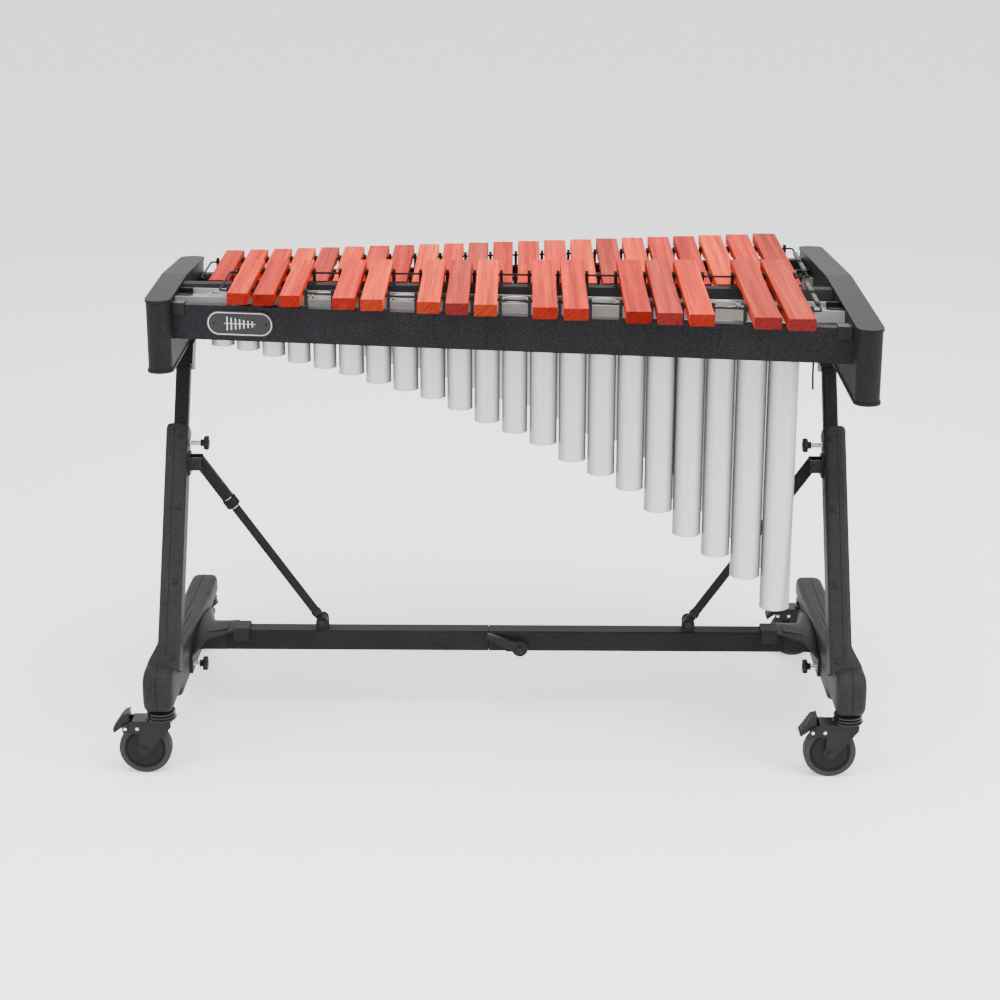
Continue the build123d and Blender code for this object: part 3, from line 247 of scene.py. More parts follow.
NATURAL_EDGES = [(x - width / 2 - 5) / 1000 for x, width in zip(NATURAL_X, NATURAL_WIDTHS)]
NATURAL_TONES = [DARK, PLAIN, PLAIN, ORANGE, PURPLE, ORANGE, PLAIN, DARK, ORANGE, PLAIN, PURPLE]
ACCIDENTAL_EDGES = [(SLOT_X[slot] - 29.0) / 1000 for slot in ACCIDENTAL_SLOTS]
ACCIDENTAL_TONES = [PLAIN, DARK, PLAIN, PLAIN, ORANGE, ORANGE, PURPLE, ORANGE]
ACCIDENTAL_TONES += [PLAIN, PLAIN, DARK, PURPLE, PLAIN, PURPLE, PURPLE]
NATURAL_WOOD = padouk("natural_padouk", NATURAL_EDGES, 2 * NATURAL_TONES)
ACCIDENTAL_WOOD = padouk("accidental_padouk", ACCIDENTAL_EDGES, ACCIDENTAL_TONES)
CORD = surface("cord", (0.004, 0.004, 0.0045), (0.015, 0.015, 0.0165), 0.75, 2200.0, 0.0002,
               stretch=(1, 3, 1))
SLEEVE = surface("spring_sleeve", (0.03, 0.027, 0.024), (0.066, 0.06, 0.054), 0.45, 1500.0, metal=0.4)
# the silver tubes, with painted shade on their sides
TUBE = brushed_with_painted_side_shade("silver_tube", (0.52, 0.52, 0.505), ((0.36, 0.355, 0.34), (0.14, 0.138, 0.13)), 0.36)
TRAY = surface("silver_sheet", (0.24, 0.235, 0.225), (0.32, 0.315, 0.305), 0.42, 700.0, 0.00003,
               0.35, (0.1, 1, 1))
BLACK = surface("black_moulding", (0.006, 0.006, 0.0065), (0.013, 0.013, 0.014), 0.42, 1200.0)
RAIL = leather("rail_coating", (0.007, 0.007, 0.0085), (0.022, 0.022, 0.025), 0.5, 520.0, 0.0002)
RAIL_TOP = surface("inner_rail_felt", (0.015, 0.015, 0.0165), (0.03, 0.03, 0.032), 0.8, 2600.0, 0.0002)
BLOCK = leather("block_moulding", (0.0072, 0.0068, 0.007), (0.018, 0.0166, 0.0162), 0.5, 620.0, 0.00025)
LEG = leather("leg_moulding", (0.0115, 0.011, 0.011), (0.029, 0.0275, 0.0272), 0.5, 620.0, 0.0002)
FRAME = leather("frame_coating", (0.007, 0.007, 0.007), (0.019, 0.019, 0.0185), 0.5, 560.0, 0.0002)
STEEL = surface("black_steel", (0.008, 0.008, 0.0085), (0.017, 0.017, 0.018), 0.36, 1100.0, metal=0.2)
BRIGHT = surface("bright_steel", (0.55, 0.55, 0.56), (0.68, 0.68, 0.69), 0.26, 900.0, 0.00002, 1.0)
TYRE = surface("tyre", (0.017, 0.0195, 0.023), (0.027, 0.03, 0.034), 0.6, 1600.0, 0.0001)
HUB = surface("hub", (0.004, 0.004, 0.004), (0.009, 0.009, 0.0095), 0.4, 1200.0)
PLATE = surface("plate", (0.025, 0.025, 0.0275), (0.0425, 0.0425, 0.045), 0.3, 1000.0, 0.00002, 0.6)
# dark for seams and grooves, and as painted shadow round the caster hubs
GROOVE_AND_SHADE = surface("groove_and_shade", (0.004, 0.004, 0.004), (0.008, 0.008, 0.008), 0.8, 1200.0)
GLOSS = surface("race_steel", (0.02, 0.02, 0.02), (0.04, 0.04, 0.04), 0.18, 900.0, 0.00002, 0.6)
PALE = surface("pale_print", (0.6, 0.6, 0.6), (0.68, 0.68, 0.68), 0.4, 1000.0, 0.00001)

LOOKS = {
    "natural_bars": NATURAL_WOOD,
    "accidental_bars": ACCIDENTAL_WOOD,
    "suspension_cords": CORD,
    "cord_tail": CORD,
    "cord_springs": SLEEVE,
    "near_resonators": TUBE,
    "far_resonators": TUBE,
    "resonator_stoppers": TUBE,
    "near_bank_channel": TRAY,
    "far_bank_channel": TRAY,
    "near_rail": RAIL,
    "far_rail": RAIL,
    "inner_rails": RAIL_TOP,
    "high_end_block": BLOCK,
    "low_end_block": BLOCK,
    "end_caps": BLOCK,
    "name_plate": PLATE,
}
ENDINGS = {
    "posts": BLACK,
    "clips": BLACK,
    "clip": BLACK,
    "hooks": BLACK,
    "knob": BLACK,
    "collar": BLACK,
    "lever": BLACK,
    "casing": LEG,
    "foot": LEG,
    "sleeve": LEG,
    "brackets": STEEL,
    "screws": STEEL,
    "fork": STEEL,
    "pedal": STEEL,
    "wheel": TYRE,
}


def look_of(name):
    """The finish of a CAD node, by its name or by the name's last word."""
    if name in LOOKS:
        return LOOKS[name]
    return ENDINGS.get(name.split("_")[-1], FRAME)


for name, node_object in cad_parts.items():
    node_object.data.materials.clear()
    node_object.data.materials.append(look_of(name))


# ---------------------------------------------------------------- shapes
class Shape:
    """Points, in mm about the keyboard's middle, and faces, gathered into one piece."""

    def __init__(self):
        self.points = []
        self.faces = []

    def add(self, points, faces, place=Matrix()):
        """Adds points, moved to a place, and the faces that join them."""
        start = len(self.points)
        self.points += [place @ Vector(point) for point in points]
        self.faces += [tuple(start + i for i in face) for face in faces]

    def skin(self, rings, place=Matrix(), closed=False):
        """Joins rings of equal size into a skin, capped at both ends unless it closes on itself."""
        count = len(rings[0])
        points = [point for ring in rings for point in ring]
        faces = []
        for k in range(len(rings) if closed else len(rings) - 1):
            here, there = k * count, (k + 1) % len(rings) * count
            for i in range(count):
                j = (i + 1) % count
                faces.append((here + i, here + j, there + j, there + i))
        if not closed:
            last = (len(rings) - 1) * count
            faces.append(tuple(reversed(range(count))))
            faces.append(tuple(range(last, last + count)))
        self.add(points, faces, place)

    def turned(self, profile, place=Matrix(), turns=36, closed=False):
        """A turned form: (radius, height) stations about the local Z axis."""
        rings = [
            [
                (radius * cos(2 * pi * i / turns), radius * sin(2 * pi * i / turns), height)
                for i in range(turns)
            ]
            for radius, height in profile
        ]
        self.skin(rings, place, closed)

    def prism(self, outline, low, high, place=Matrix(), ease=0.6):
        """An outline in local XY raised from low to high, with eased edges."""
        middle = [sum(values) / len(outline) for values in zip(*outline)]
        size = max((Vector(point) - Vector(middle)).length for point in outline)
        small = 1 - ease / size
        inner = [[m + (v - m) * small for v, m in zip(point, middle)] for point in outline]
        rings = [
            [(*point, low) for point in inner],
            [(*point, low + ease) for point in outline],
            [(*point, high - ease) for point in outline],
            [(*point, high) for point in inner],
        ]
        self.skin(rings, place)

    def run(self, path, radius, sides=10, closed=False):
        """A round section along a path of points."""
        path = [Vector(point) for point in path]
        rings = []
        across = None
        for i, here in enumerate(path):
            before = path[i - 1] if i or closed else here
            after = path[(i + 1) % len(path)] if i + 1 < len(path) or closed else here
            along = (after - before).normalized()
            if across is None:
                across = along.orthogonal().normalized()
            across = (across - along * across.dot(along)).normalized()
            other = along.cross(across)
            rings.append(
                [
                    here + (across * cos(2 * pi * k / sides) + other * sin(2 * pi * k / sides)) * radius
                    for k in range(sides)
                ]
            )
        self.skin(rings, closed=closed)

    def build(self, name, material, body, smooth=38.0, bevel=0.0):
        """Makes the piece, shades it smooth between its sharp edges and lets it ride on a body."""
        mesh = bpy.data.meshes.new(name)
        mesh.from_pydata([at(*point) for point in self.points], [], self.faces)
        mesh.validate()
        mesh.materials.append(material)
        mesh.shade_smooth()
        mesh.set_sharp_from_angle(angle=radians(smooth))
        piece = bpy.data.objects.new(name, mesh)
        bpy.context.scene.collection.objects.link(piece)
        if bevel:
            eased = piece.modifiers.new("ease", "BEVEL")
            eased.width = bevel / 1000
            eased.segments = 2
            eased.limit_method = "ANGLE"
        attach(piece, body)
        return piece


def seat(origin, axis, across=(0.0, 0.0, 1.0)):
    """A place at a point, with local Z along an axis and local X as near to another direction as can be."""
    axis = Vector(axis).normalized()
    side = Vector(across) - axis * Vector(across).dot(axis)
    if side.length < 0.001:
        side = axis.orthogonal()
    side.normalize()
    other = axis.cross(side)
    turn = Matrix((side, other, axis)).transposed().to_4x4()
    return Matrix.Translation(Vector(origin)) @ turn


def hexagon(radius):
    """The corners of a six-sided head."""
    return [(radius * cos(pi * i / 3), radius * sin(pi * i / 3)) for i in range(6)]


def box_ring(half_x, half_y, power=5.0, count=32):
    """A rounded rectangle as one closed ring of points."""
    ring = []
    for i in range(count):
        turn = 2 * pi * i / count
        c, s = cos(turn), sin(turn)
        ring.append(
            (
                half_x * (abs(c) ** (2 / power)) * (1 if c >= 0 else -1),
                half_y * (abs(s) ** (2 / power)) * (1 if s >= 0 else -1),
            )
        )
    return ring


def screw(shape, origin, axis, radius, height):
    """A domed head with a socket."""
    place = seat(origin, axis)
    dome = [(radius, 0), (radius, height * 0.5), (radius * 0.8, height * 0.92), (radius * 0.5, height)]
    socket = [(radius * 0.48, height * 0.6), (0.01, height * 0.5)]
    shape.turned(dome + socket, place, 24)


# ---------------------------------------------------------------- the keyboard's lines
def natural_far(x):
    """Y of the natural bars' far ends."""
    return 371.0 + 0.169 * x


def natural_near(x):
    """Y of the natural bars' near ends."""
    return -16.0 - 0.024 * x


def accidental_near(x):
    """Y of the accidental bars' near ends."""
    return -371.0 - 0.182 * x


def accidental_far(x):
    """Y of the accidental bars' far ends."""
    return 15.0 + 0.016 * x


def between(low, high, ratio):
    """The line that lies at a ratio of the way from one line to another."""
    return lambda x: low(x) + ratio * (high(x) - low(x))


NODE_RATIO = 0.224                      # a nodal line's distance from a bar's end, over its length
ACCIDENTAL_NEAR_NODE = between(accidental_near, accidental_far, NODE_RATIO)
ACCIDENTAL_FAR_NODE = between(accidental_near, accidental_far, 1 - NODE_RATIO)
NATURAL_NEAR_NODE = between(natural_near, natural_far, NODE_RATIO)
NATURAL_FAR_NODE = between(natural_near, natural_far, 1 - NODE_RATIO)
NEAR_TUBE_LINE = between(accidental_near, accidental_far, 0.5)
FAR_TUBE_LINE = between(natural_near, natural_far, 0.5)

NATURAL_CORD_Z = 872.3
ACCIDENTAL_CORD_Z = 910.8
NATURAL_RAIL_TOP = 850.0
NEAR_RAIL_TOP = 884.0
INNER_ACCIDENTAL_TOP = 890.0
NEAR_TUBE_TOP = 888.0
FAR_TUBE_TOP = 849.0


# ---------------------------------------------------------------- posts
def post_places():
    """(x, node line, rail top, cord height) of every post."""
    naturals = [NATURAL_X[0] - 28.0] + SLOT_X + [NATURAL_X[-1] + 33.0]
    accidentals = set()
    for slot in ACCIDENTAL_SLOTS:
        half = NATURAL_WIDTHS[slot + 1] / 2 + BAR_GAP / 2
        for side in (-1, 1):
            if slot + side in ACCIDENTAL_SLOTS:
                accidentals.add(round((SLOT_X[slot] + SLOT_X[slot + side]) / 2, 3))
            else:
                accidentals.add(round(SLOT_X[slot] + side * half, 3))
    places = []
    for x in naturals:
        places.append((x, NATURAL_NEAR_NODE, NATURAL_RAIL_TOP, NATURAL_CORD_Z))
        places.append((x, NATURAL_FAR_NODE, NATURAL_RAIL_TOP, NATURAL_CORD_Z))
    for x in sorted(accidentals):
        places.append((x, ACCIDENTAL_NEAR_NODE, NEAR_RAIL_TOP, ACCIDENTAL_CORD_Z))
        places.append((x, ACCIDENTAL_FAR_NODE, INNER_ACCIDENTAL_TOP, ACCIDENTAL_CORD_Z))
    return places


def add_post(shape, x, node, rail_top, cord_z):
    """A flat fork that straddles the cord, with rounded prongs and a foot on the rail."""
    half = [(7.5, rail_top), (7.5, rail_top + 2.5), (5.6, rail_top + 4.5), (5.2, cord_z - 2)]
    half += [(6.0, cord_z + 1), (6.2, cord_z + 5), (5.4, cord_z + 7.4), (4.2, cord_z + 8)]
    half += [(3.0, cord_z + 7.4), (2.3, cord_z + 5.5), (2.3, cord_z - 1), (1.6, cord_z - 2.4)]
    outline = [(y, z) for y, z in half] + [(-y, z) for y, z in reversed(half)]
    place = Matrix.Translation((x, node(x), 0)) @ seat((0, 0, 0), (1, 0, 0), (0, 1, 0))
    shape.prism(outline, -3.0, 3.0, place, 0.5)


post_shapes = {True: Shape(), False: Shape()}
for x, node, rail_top, cord_z in post_places():
    add_post(post_shapes[cord_z == NATURAL_CORD_Z], x, node, rail_top, cord_z)
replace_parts(post_shapes[True].build("natural_forks", BLACK, "keyboard"), "natural_posts")
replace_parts(post_shapes[False].build("accidental_forks", BLACK, "keyboard"), "accidental_posts")


# ---------------------------------------------------------------- cord springs
def add_spring(sleeves, coils, x, y_start, z, length):
    """A spring in a sleeve: bare coils show at each end."""
    bare = 11.0
    body = [(4.2, bare), (4.6, bare + 1), (4.6, length - bare - 1), (4.2, length - bare)]
    place = seat((x, y_start, z), (0, 1, 0))
    sleeves.turned(body, place, 24)
    for grip in (bare + 3, length / 2, length - bare - 3):
        sleeves.turned([(4.6, grip - 1.5), (5.2, grip - 1), (5.2, grip + 1), (4.6, grip + 1.5)], place, 24)
    for start in (1.5, length - bare):
        steps = 72
        path = []
        for i in range(steps + 1):
            turn = 2 * pi * 6 * i / steps
            y = y_start + start + (bare - 1.5) * i / steps
            path.append((x + 3.2 * cos(turn), y, z + 3.2 * sin(turn)))
        coils.run(path, 0.8, 8)


spring_sleeves = Shape()
spring_coils = Shape()
SPRING_LENGTH = 86.0
SPRING_LINK = 12.0
for near, far, x, z in (
    (NATURAL_NEAR_NODE, NATURAL_FAR_NODE, 598.0, NATURAL_CORD_Z),
    (ACCIDENTAL_NEAR_NODE, ACCIDENTAL_FAR_NODE, 566.0, ACCIDENTAL_CORD_Z),
):
    middle = (near(x) + far(x)) / 2
    for y_start in (middle - SPRING_LINK / 2 - SPRING_LENGTH, middle + SPRING_LINK / 2):
        add_spring(spring_sleeves, spring_coils, x, y_start, z, SPRING_LENGTH)
    loop = [
        (x + 3 * sin(2 * pi * i / 24), middle + (SPRING_LINK / 2 + 2) * cos(2 * pi * i / 24), z)
        for i in range(24)
    ]
    spring_coils.run(loop, 1.1, 8, closed=True)
sleeves_piece = spring_sleeves.build("spring_sleeves", SLEEVE, "keyboard")
spring_coils.build("spring_coils", STEEL, "keyboard")
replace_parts(sleeves_piece, "cord_springs")


# ---------------------------------------------------------------- loose cord end
TAIL_X = 557.0
TAIL_Y = ACCIDENTAL_NEAR_NODE(TAIL_X) + 15.0
TAIL_POINTS = [
    (TAIL_X, TAIL_Y, 846.0),
    (TAIL_X, TAIL_Y, 818.0),
    (TAIL_X - 0.6, TAIL_Y - 1.4, 790.0),
    (TAIL_X + 0.8, TAIL_Y - 2.0, 762.0),
]
tail_curve = bpy.data.curves.new("cord_end", "CURVE")
tail_curve.dimensions = "3D"
tail_curve.bevel_depth = 0.002
tail_curve.bevel_resolution = 4
tail_curve.use_fill_caps = True
tail_line = tail_curve.splines.new("NURBS")
tail_line.points.add(len(TAIL_POINTS) - 1)
for control, point in zip(tail_line.points, TAIL_POINTS):
    control.co = (*at(*point), 1.0)
tail_line.order_u = 3
tail_line.use_endpoint_u = True
tail_curve.materials.append(CORD)
tail_piece = bpy.data.objects.new("cord_end", tail_curve)
bpy.context.scene.collection.objects.link(tail_piece)
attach(tail_piece, "keyboard")
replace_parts(tail_piece, "cord_tail")
at(*TAIL_POINTS[0])


# ---------------------------------------------------------------- resonator rims
def tube_radius(index):
    """Outer radius of a resonator by its place from the high end."""
    for count, radius in ((5, 22.0), (12, 24.0), (16, 26.0), (19, 27.0)):
        if index < count:
            return radius
    return 28.5


NATURAL_MIDI = [84, 83, 81, 79, 77, 76, 74, 72, 71, 69, 67, 65, 64, 62, 60, 59, 57, 55, 53, 52, 50, 48]
SLOT_MIDI = [(a + b) / 2 for a, b in zip(NATURAL_MIDI, NATURAL_MIDI[1:])]


SPEED_OF_SOUND = 343200.0               # mm per second
CONCERT_PITCH = 440.0
WAVE_SHARE = 0.925                      # a tube's share of its note's quarter wave
TUBE_SKIRT = 21.0                       # what every tube has over that share


def tube_length(midi):
    """Nearly a quarter of the note's wave, and a skirt."""
    return WAVE_SHARE * SPEED_OF_SOUND / (4 * CONCERT_PITCH * 2 ** ((midi - 69) / 12)) + TUBE_SKIRT


rims = Shape()
for places, line, top, notes in (
    (SLOT_X, NEAR_TUBE_LINE, NEAR_TUBE_TOP, SLOT_MIDI),
    (NATURAL_X, FAR_TUBE_LINE, FAR_TUBE_TOP, NATURAL_MIDI),
):
    for index, (x, midi) in enumerate(zip(places, notes)):
        radius = tube_radius(index)
        for z in (top, top - tube_length(midi)):
            ring = [(radius - 1.6, -0.5), (radius + 0.2, -0.5), (radius + 0.4, 0.4), (radius - 0.7, 0.8)]
            rims.turned(ring, Matrix.Translation((x, line(x), z)), 48, closed=True)
rims.build("resonator_rims", TUBE, "keyboard")


# ---------------------------------------------------------------- the rails' seam
SEAM_X = -33.0
SEAM_HALF = 0.4                         # half the gap between the halves of a rail
SEAM_INSET = 0.6                        # how far the filler stays below the rail's faces
RAIL_HALF, INNER_RAIL_HALF = 10.0, 12.0
RAIL_DEPTH, INNER_RAIL_DEPTH = 66.0, 30.0
rail_joints = Shape()
for line, half, top, depth in (
    (ACCIDENTAL_NEAR_NODE, RAIL_HALF, NEAR_RAIL_TOP, RAIL_DEPTH),
    (NATURAL_FAR_NODE, RAIL_HALF, NATURAL_RAIL_TOP, RAIL_DEPTH),
    (ACCIDENTAL_FAR_NODE, INNER_RAIL_HALF, INNER_ACCIDENTAL_TOP, INNER_RAIL_DEPTH),
    (NATURAL_NEAR_NODE, INNER_RAIL_HALF, NATURAL_RAIL_TOP, INNER_RAIL_DEPTH),
):
    y = line(SEAM_X)
    left, right = SEAM_X - SEAM_HALF, SEAM_X + SEAM_HALF
    corners = [(left, y - half), (right, y - half), (right, y + half), (left, y + half)]
    inner = [(x, y + (corner_y - y) * (1 - SEAM_INSET / half)) for x, corner_y in corners]
    rail_joints.prism(inner, top - depth + SEAM_INSET, top - SEAM_INSET, ease=0.1)
rail_joints.build("rail_joints", GROOVE_AND_SHADE, "keyboard")


# ---------------------------------------------------------------- name plate
PLATE_X = -492.0
slope = Vector((1.0, ACCIDENTAL_NEAR_NODE(1) - ACCIDENTAL_NEAR_NODE(0), 0.0)).normalized()
outward = Vector((slope.y, -slope.x, 0.0))
plate_middle = Vector((PLATE_X, ACCIDENTAL_NEAR_NODE(PLATE_X) - 10.0 / slope.x, 851.0)) + outward * 2.05


def on_plate(u, v, lift=0.0):
    """A point on the name plate's face."""
    return plate_middle + slope * u + Vector((0, 0, v)) + outward * lift


def stadium(length, height, count=20):
    """Points round a slot-shaped outline."""
    radius = height / 2
    points = []
    for side, start in ((1, pi / 2), (-1, -pi / 2)):
        for i in range(count + 1):
            turn = start - pi * i / count
            points.append((side * (length / 2 - radius) + radius * cos(turn), radius * sin(turn)))
    return points


plate_lines = Shape()
plate_lines.run([on_plate(u, v, 0.1) for u, v in stadium(121.0, 41.0)], 0.75, 6, closed=True)
for k in range(7):
    tall = 13.0 - 1.3 * k
    u = -24.0 + 8.0 * k
    plate_lines.run([on_plate(u, -tall, 0.05), on_plate(u, tall, 0.05)], 1.15, 8)
plate_lines.run([on_plate(-30.0, 0.0, 0.1), on_plate(30.0, 0.0, 0.1)], 0.5, 6)
plate_lines.build("plate_border", PALE, "keyboard")
plate_screws = Shape()
for u in (-50.0, 50.0):
    screw(plate_screws, on_plate(u, 0.0), outward, 2.6, 1.1)
plate_screws.build("plate_screws", STEEL, "keyboard")


# ---------------------------------------------------------------- feet
LEG_X = 652.0                           # middle of a foot
CASING_X = 637.0                        # middle of a leg casing
LEAN = radians(30.3)
LEG_AXIS = Vector((0.0, sin(LEAN), cos(LEAN)))
LEG_OUT = Vector((0.0, -cos(LEAN), sin(LEAN)))
LEG_FOOT = Vector((0.0, -300.0, 235.0))
CASING_TOP = 426.0
CASING_HALF_WIDTH = 21.5
CASING_HALF_DEPTH = 27.5

# along the foot: Y, underside, top, outer half width, inner half width
FOOT_STATIONS = [
    (-386.5, 158, 174, 14, 13),
    (-385, 146, 186, 22.5, 20.5),
    (-380, 136, 198, 27.5, 25),
    (-371, 129.5, 208, 30, 27.3),
    (-356, 128, 214.5, 31, 28.2),
    (-325, 128, 215, 30.6, 28.2),
    (-290, 128, 212, 29.6, 28.2),
    (-256, 128, 208.8, 28.8, 28.2),
    (-249, 120, 208, 28.3, 28.1),
    (-242, 107, 207, 28.2, 28.1),
    (-236, 104, 206.5, 28.2, 28.1),
    (-150, 103.8, 197.5, 28.1, 28.1),
    (-60, 103.8, 187.5, 28.1, 28.1),
    (20, 103.8, 181, 28.1, 28.1),
    (93, 103.8, 175.3, 28.1, 28.1),
    (142, 104, 173.4, 28.1, 28.1),
    (149, 107, 173, 28.1, 28.1),
    (156, 120, 172.8, 28.1, 28.1),
    (163, 128, 172.6, 28.1, 28.1),
    (230, 128, 170.6, 28.1, 28.1),
    (268, 128.2, 169.2, 27.4, 27.4),
    (280, 130.5, 167, 24, 24),
    (286, 138, 159, 16, 16),
]


def add_foot(shape, side):
    """The foot as one smooth form, fuller on its outer side at the nose."""
    rings = []
    for y, low, high, outer, inner in FOOT_STATIONS:
        ring = []
        for u, v in box_ring(1.0, 1.0, 4.6, 40):
            reach = outer if u > 0 else inner
            ring.append((side * (LEG_X + u * reach), y, (low + high) / 2 + v * (high - low) / 2))
        rings.append(ring if side > 0 else list(reversed(ring)))
    shape.skin(rings)


def add_ankle(shape, side):
    """Where the foot's outer side flows up round the leg casing."""
    rings = []
    for along in range(-78, 19, 6):
        rise = min(1.0, max(0.0, (16 - along) / 62))
        swell = 22.0 * rise * rise * (3 - 2 * rise)
        centre = LEG_FOOT + LEG_AXIS * along
        ring = []
        for u, v in box_ring(1.0, 1.0, 4.0, 36):
            reach = 21.7 + swell if u > 0 else 21.2 - 8.4 * rise * rise
            near = 27.7 - 2.0 * (1 - rise)
            point = centre + Vector((side * (CASING_X + u * reach), 0, 0)) + LEG_OUT * v * near
            ring.append(tuple(point))
        rings.append(ring if side > 0 else list(reversed(ring)))
    shape.skin(rings)


def foot_top(y):
    """Height of the foot's top at Y."""
    for low, high in zip(FOOT_STATIONS, FOOT_STATIONS[1:]):
        if low[0] <= y <= high[0]:
            share = (y - low[0]) / (high[0] - low[0])
            return low[2] + share * (high[2] - low[2])
    return FOOT_STATIONS[-1][2]


for side, end in ((-1, "high"), (1, "low")):
    foot = Shape()
    add_foot(foot, side)
    foot_piece = foot.build(f"{end}_foot_moulding", LEG, "base", 60.0)
    ankle = Shape()
    add_ankle(ankle, side)
    ankle.build(f"{end}_ankle", LEG, "base", 60.0)
    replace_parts(foot_piece, f"{end}_foot")
    grooves = Shape()
    seam_x = side * (LEG_X + 3.0)
    nose = [(seam_x, y, low) for y, low, *_ in FOOT_STATIONS[4::-1]]
    nose += [(seam_x, y, station_top) for y, _, station_top, *_ in FOOT_STATIONS[:6]]
    grooves.run(nose, 0.7, 6)
    stations = (-276, -250, -200, -150, -60, 20, 93, 150, 230, 268, 279)
    grooves.run([(seam_x, y, foot_top(y)) for y in stations], 0.7, 6)
    grooves.build(f"{end}_foot_seam", GROOVE_AND_SHADE, "base")
    ribs = Shape()
    for offset, start, end_y in ((-4.0, -255.0, 28.0), (-12.5, -255.0, 18.0)):
        steps = 16
        path = []
        for i in range(steps + 1):
            y = start + (end_y - start) * i / steps
            path.append((side * (LEG_X + offset), y, foot_top(y) - 1.2))
        ribs.run(path, 3.2, 10)
    ribs.build(f"{end}_foot_ribs", LEG, "base", 60.0)


# ---------------------------------------------------------------- leg casings
FIXING_SHIFT = 8.0                      # from a casing's middle to its screws, towards the bar
for side, end in ((-1, "high"), (1, "low")):
    cap = Shape()
    rings = []
    for rise, inset in ((-1.5, -0.15), (3.0, -0.1), (6.0, 1.2), (8.0, 4.0)):
        centre = LEG_FOOT + LEG_AXIS * (CASING_TOP + rise)
        ring = []
        for u, v in box_ring(CASING_HALF_WIDTH - inset, CASING_HALF_DEPTH - inset, 4.5, 36):
            ring.append(tuple(centre + Vector((side * (CASING_X + u), 0, 0)) + LEG_OUT * v))
        rings.append(ring if side > 0 else list(reversed(ring)))
    cap.skin(rings)
    cap.build(f"{end}_casing_cap", LEG, "base", 50.0)
    fixings = Shape()
    for along in (-25.0, 121.0, 267.0, 405.0):
        seat_point = LEG_FOOT + LEG_AXIS * along + LEG_OUT * CASING_HALF_DEPTH
        seat_point += Vector((side * (CASING_X - FIXING_SHIFT), 0, 0))
        place = seat(seat_point, LEG_OUT, tuple(LEG_AXIS))
        fixings.prism([(-6.5, -5), (6.5, -5), (6.5, 5), (-6.5, 5)], -0.5, 0.6, place, 0.5)
        screw(fixings, seat_point + LEG_OUT * 1.2, LEG_OUT, 3.6, 1.2)
    fixings.build(f"{end}_casing_fixings", STEEL, "base")


# ---------------------------------------------------------------- knobs
def add_knob(head, screw_shape, tip, side, reach):
    """A lobed knob with a waisted neck, on a bright screw."""
    away = (-side, 0, 0)
    place = seat(tip, away, (0, 1, 0))
    lobes = [
        (
            (12.4 + 1.7 * cos(6 * turn)) * cos(turn),
            (12.4 + 1.7 * cos(6 * turn)) * sin(turn),
        )
        for turn in (2 * pi * i / 60 for i in range(60))
    ]
    head.prism(lobes, reach, reach + 10.0, place, 1.6)
    head.turned([(8.4, reach - 6), (7.0, reach - 4.5), (6.6, reach - 2), (9.5, reach + 0.5)], place)
    head.turned([(6.5, reach + 9.8), (6.0, reach + 10.8), (0.01, reach + 11.0)], place)
    screw_shape.turned([(4.2, 1.0), (4.2, reach - 5.5)], place, 24)
    pitch = 1.5
    for k in range(int((reach - 8) / pitch)):
        z = 1.5 + k * pitch
        screw_shape.turned([(4.1, z - 0.5), (4.7, z), (4.1, z + 0.5)], place, 20)
    screw_shape.turned([(7.6, 0.2), (7.6, 1.8), (4.0, 2.0)], place, 24)


for side, end in ((-1, "high"), (1, "low")):
    for which, tip, reach in (
        ("height", LEG_FOOT + LEG_AXIS * 400.0 + Vector((side * (CASING_X - 21.9), 0, 0)), 28.0),
        ("foot", Vector((side * (LEG_X - 28.4), -146.0, 137.0)), 24.0),
    ):
        head = Shape()
        thread = Shape()
        add_knob(head, thread, tip, side, reach)
        head_piece = head.build(f"{end}_{which}_knob_head", BLACK, f"{end}_{which}_knob", 50.0)
        thread.build(f"{end}_{which}_knob_screw", BRIGHT, f"{end}_{which}_knob")
        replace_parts(head_piece, f"{end}_{which}_knob")


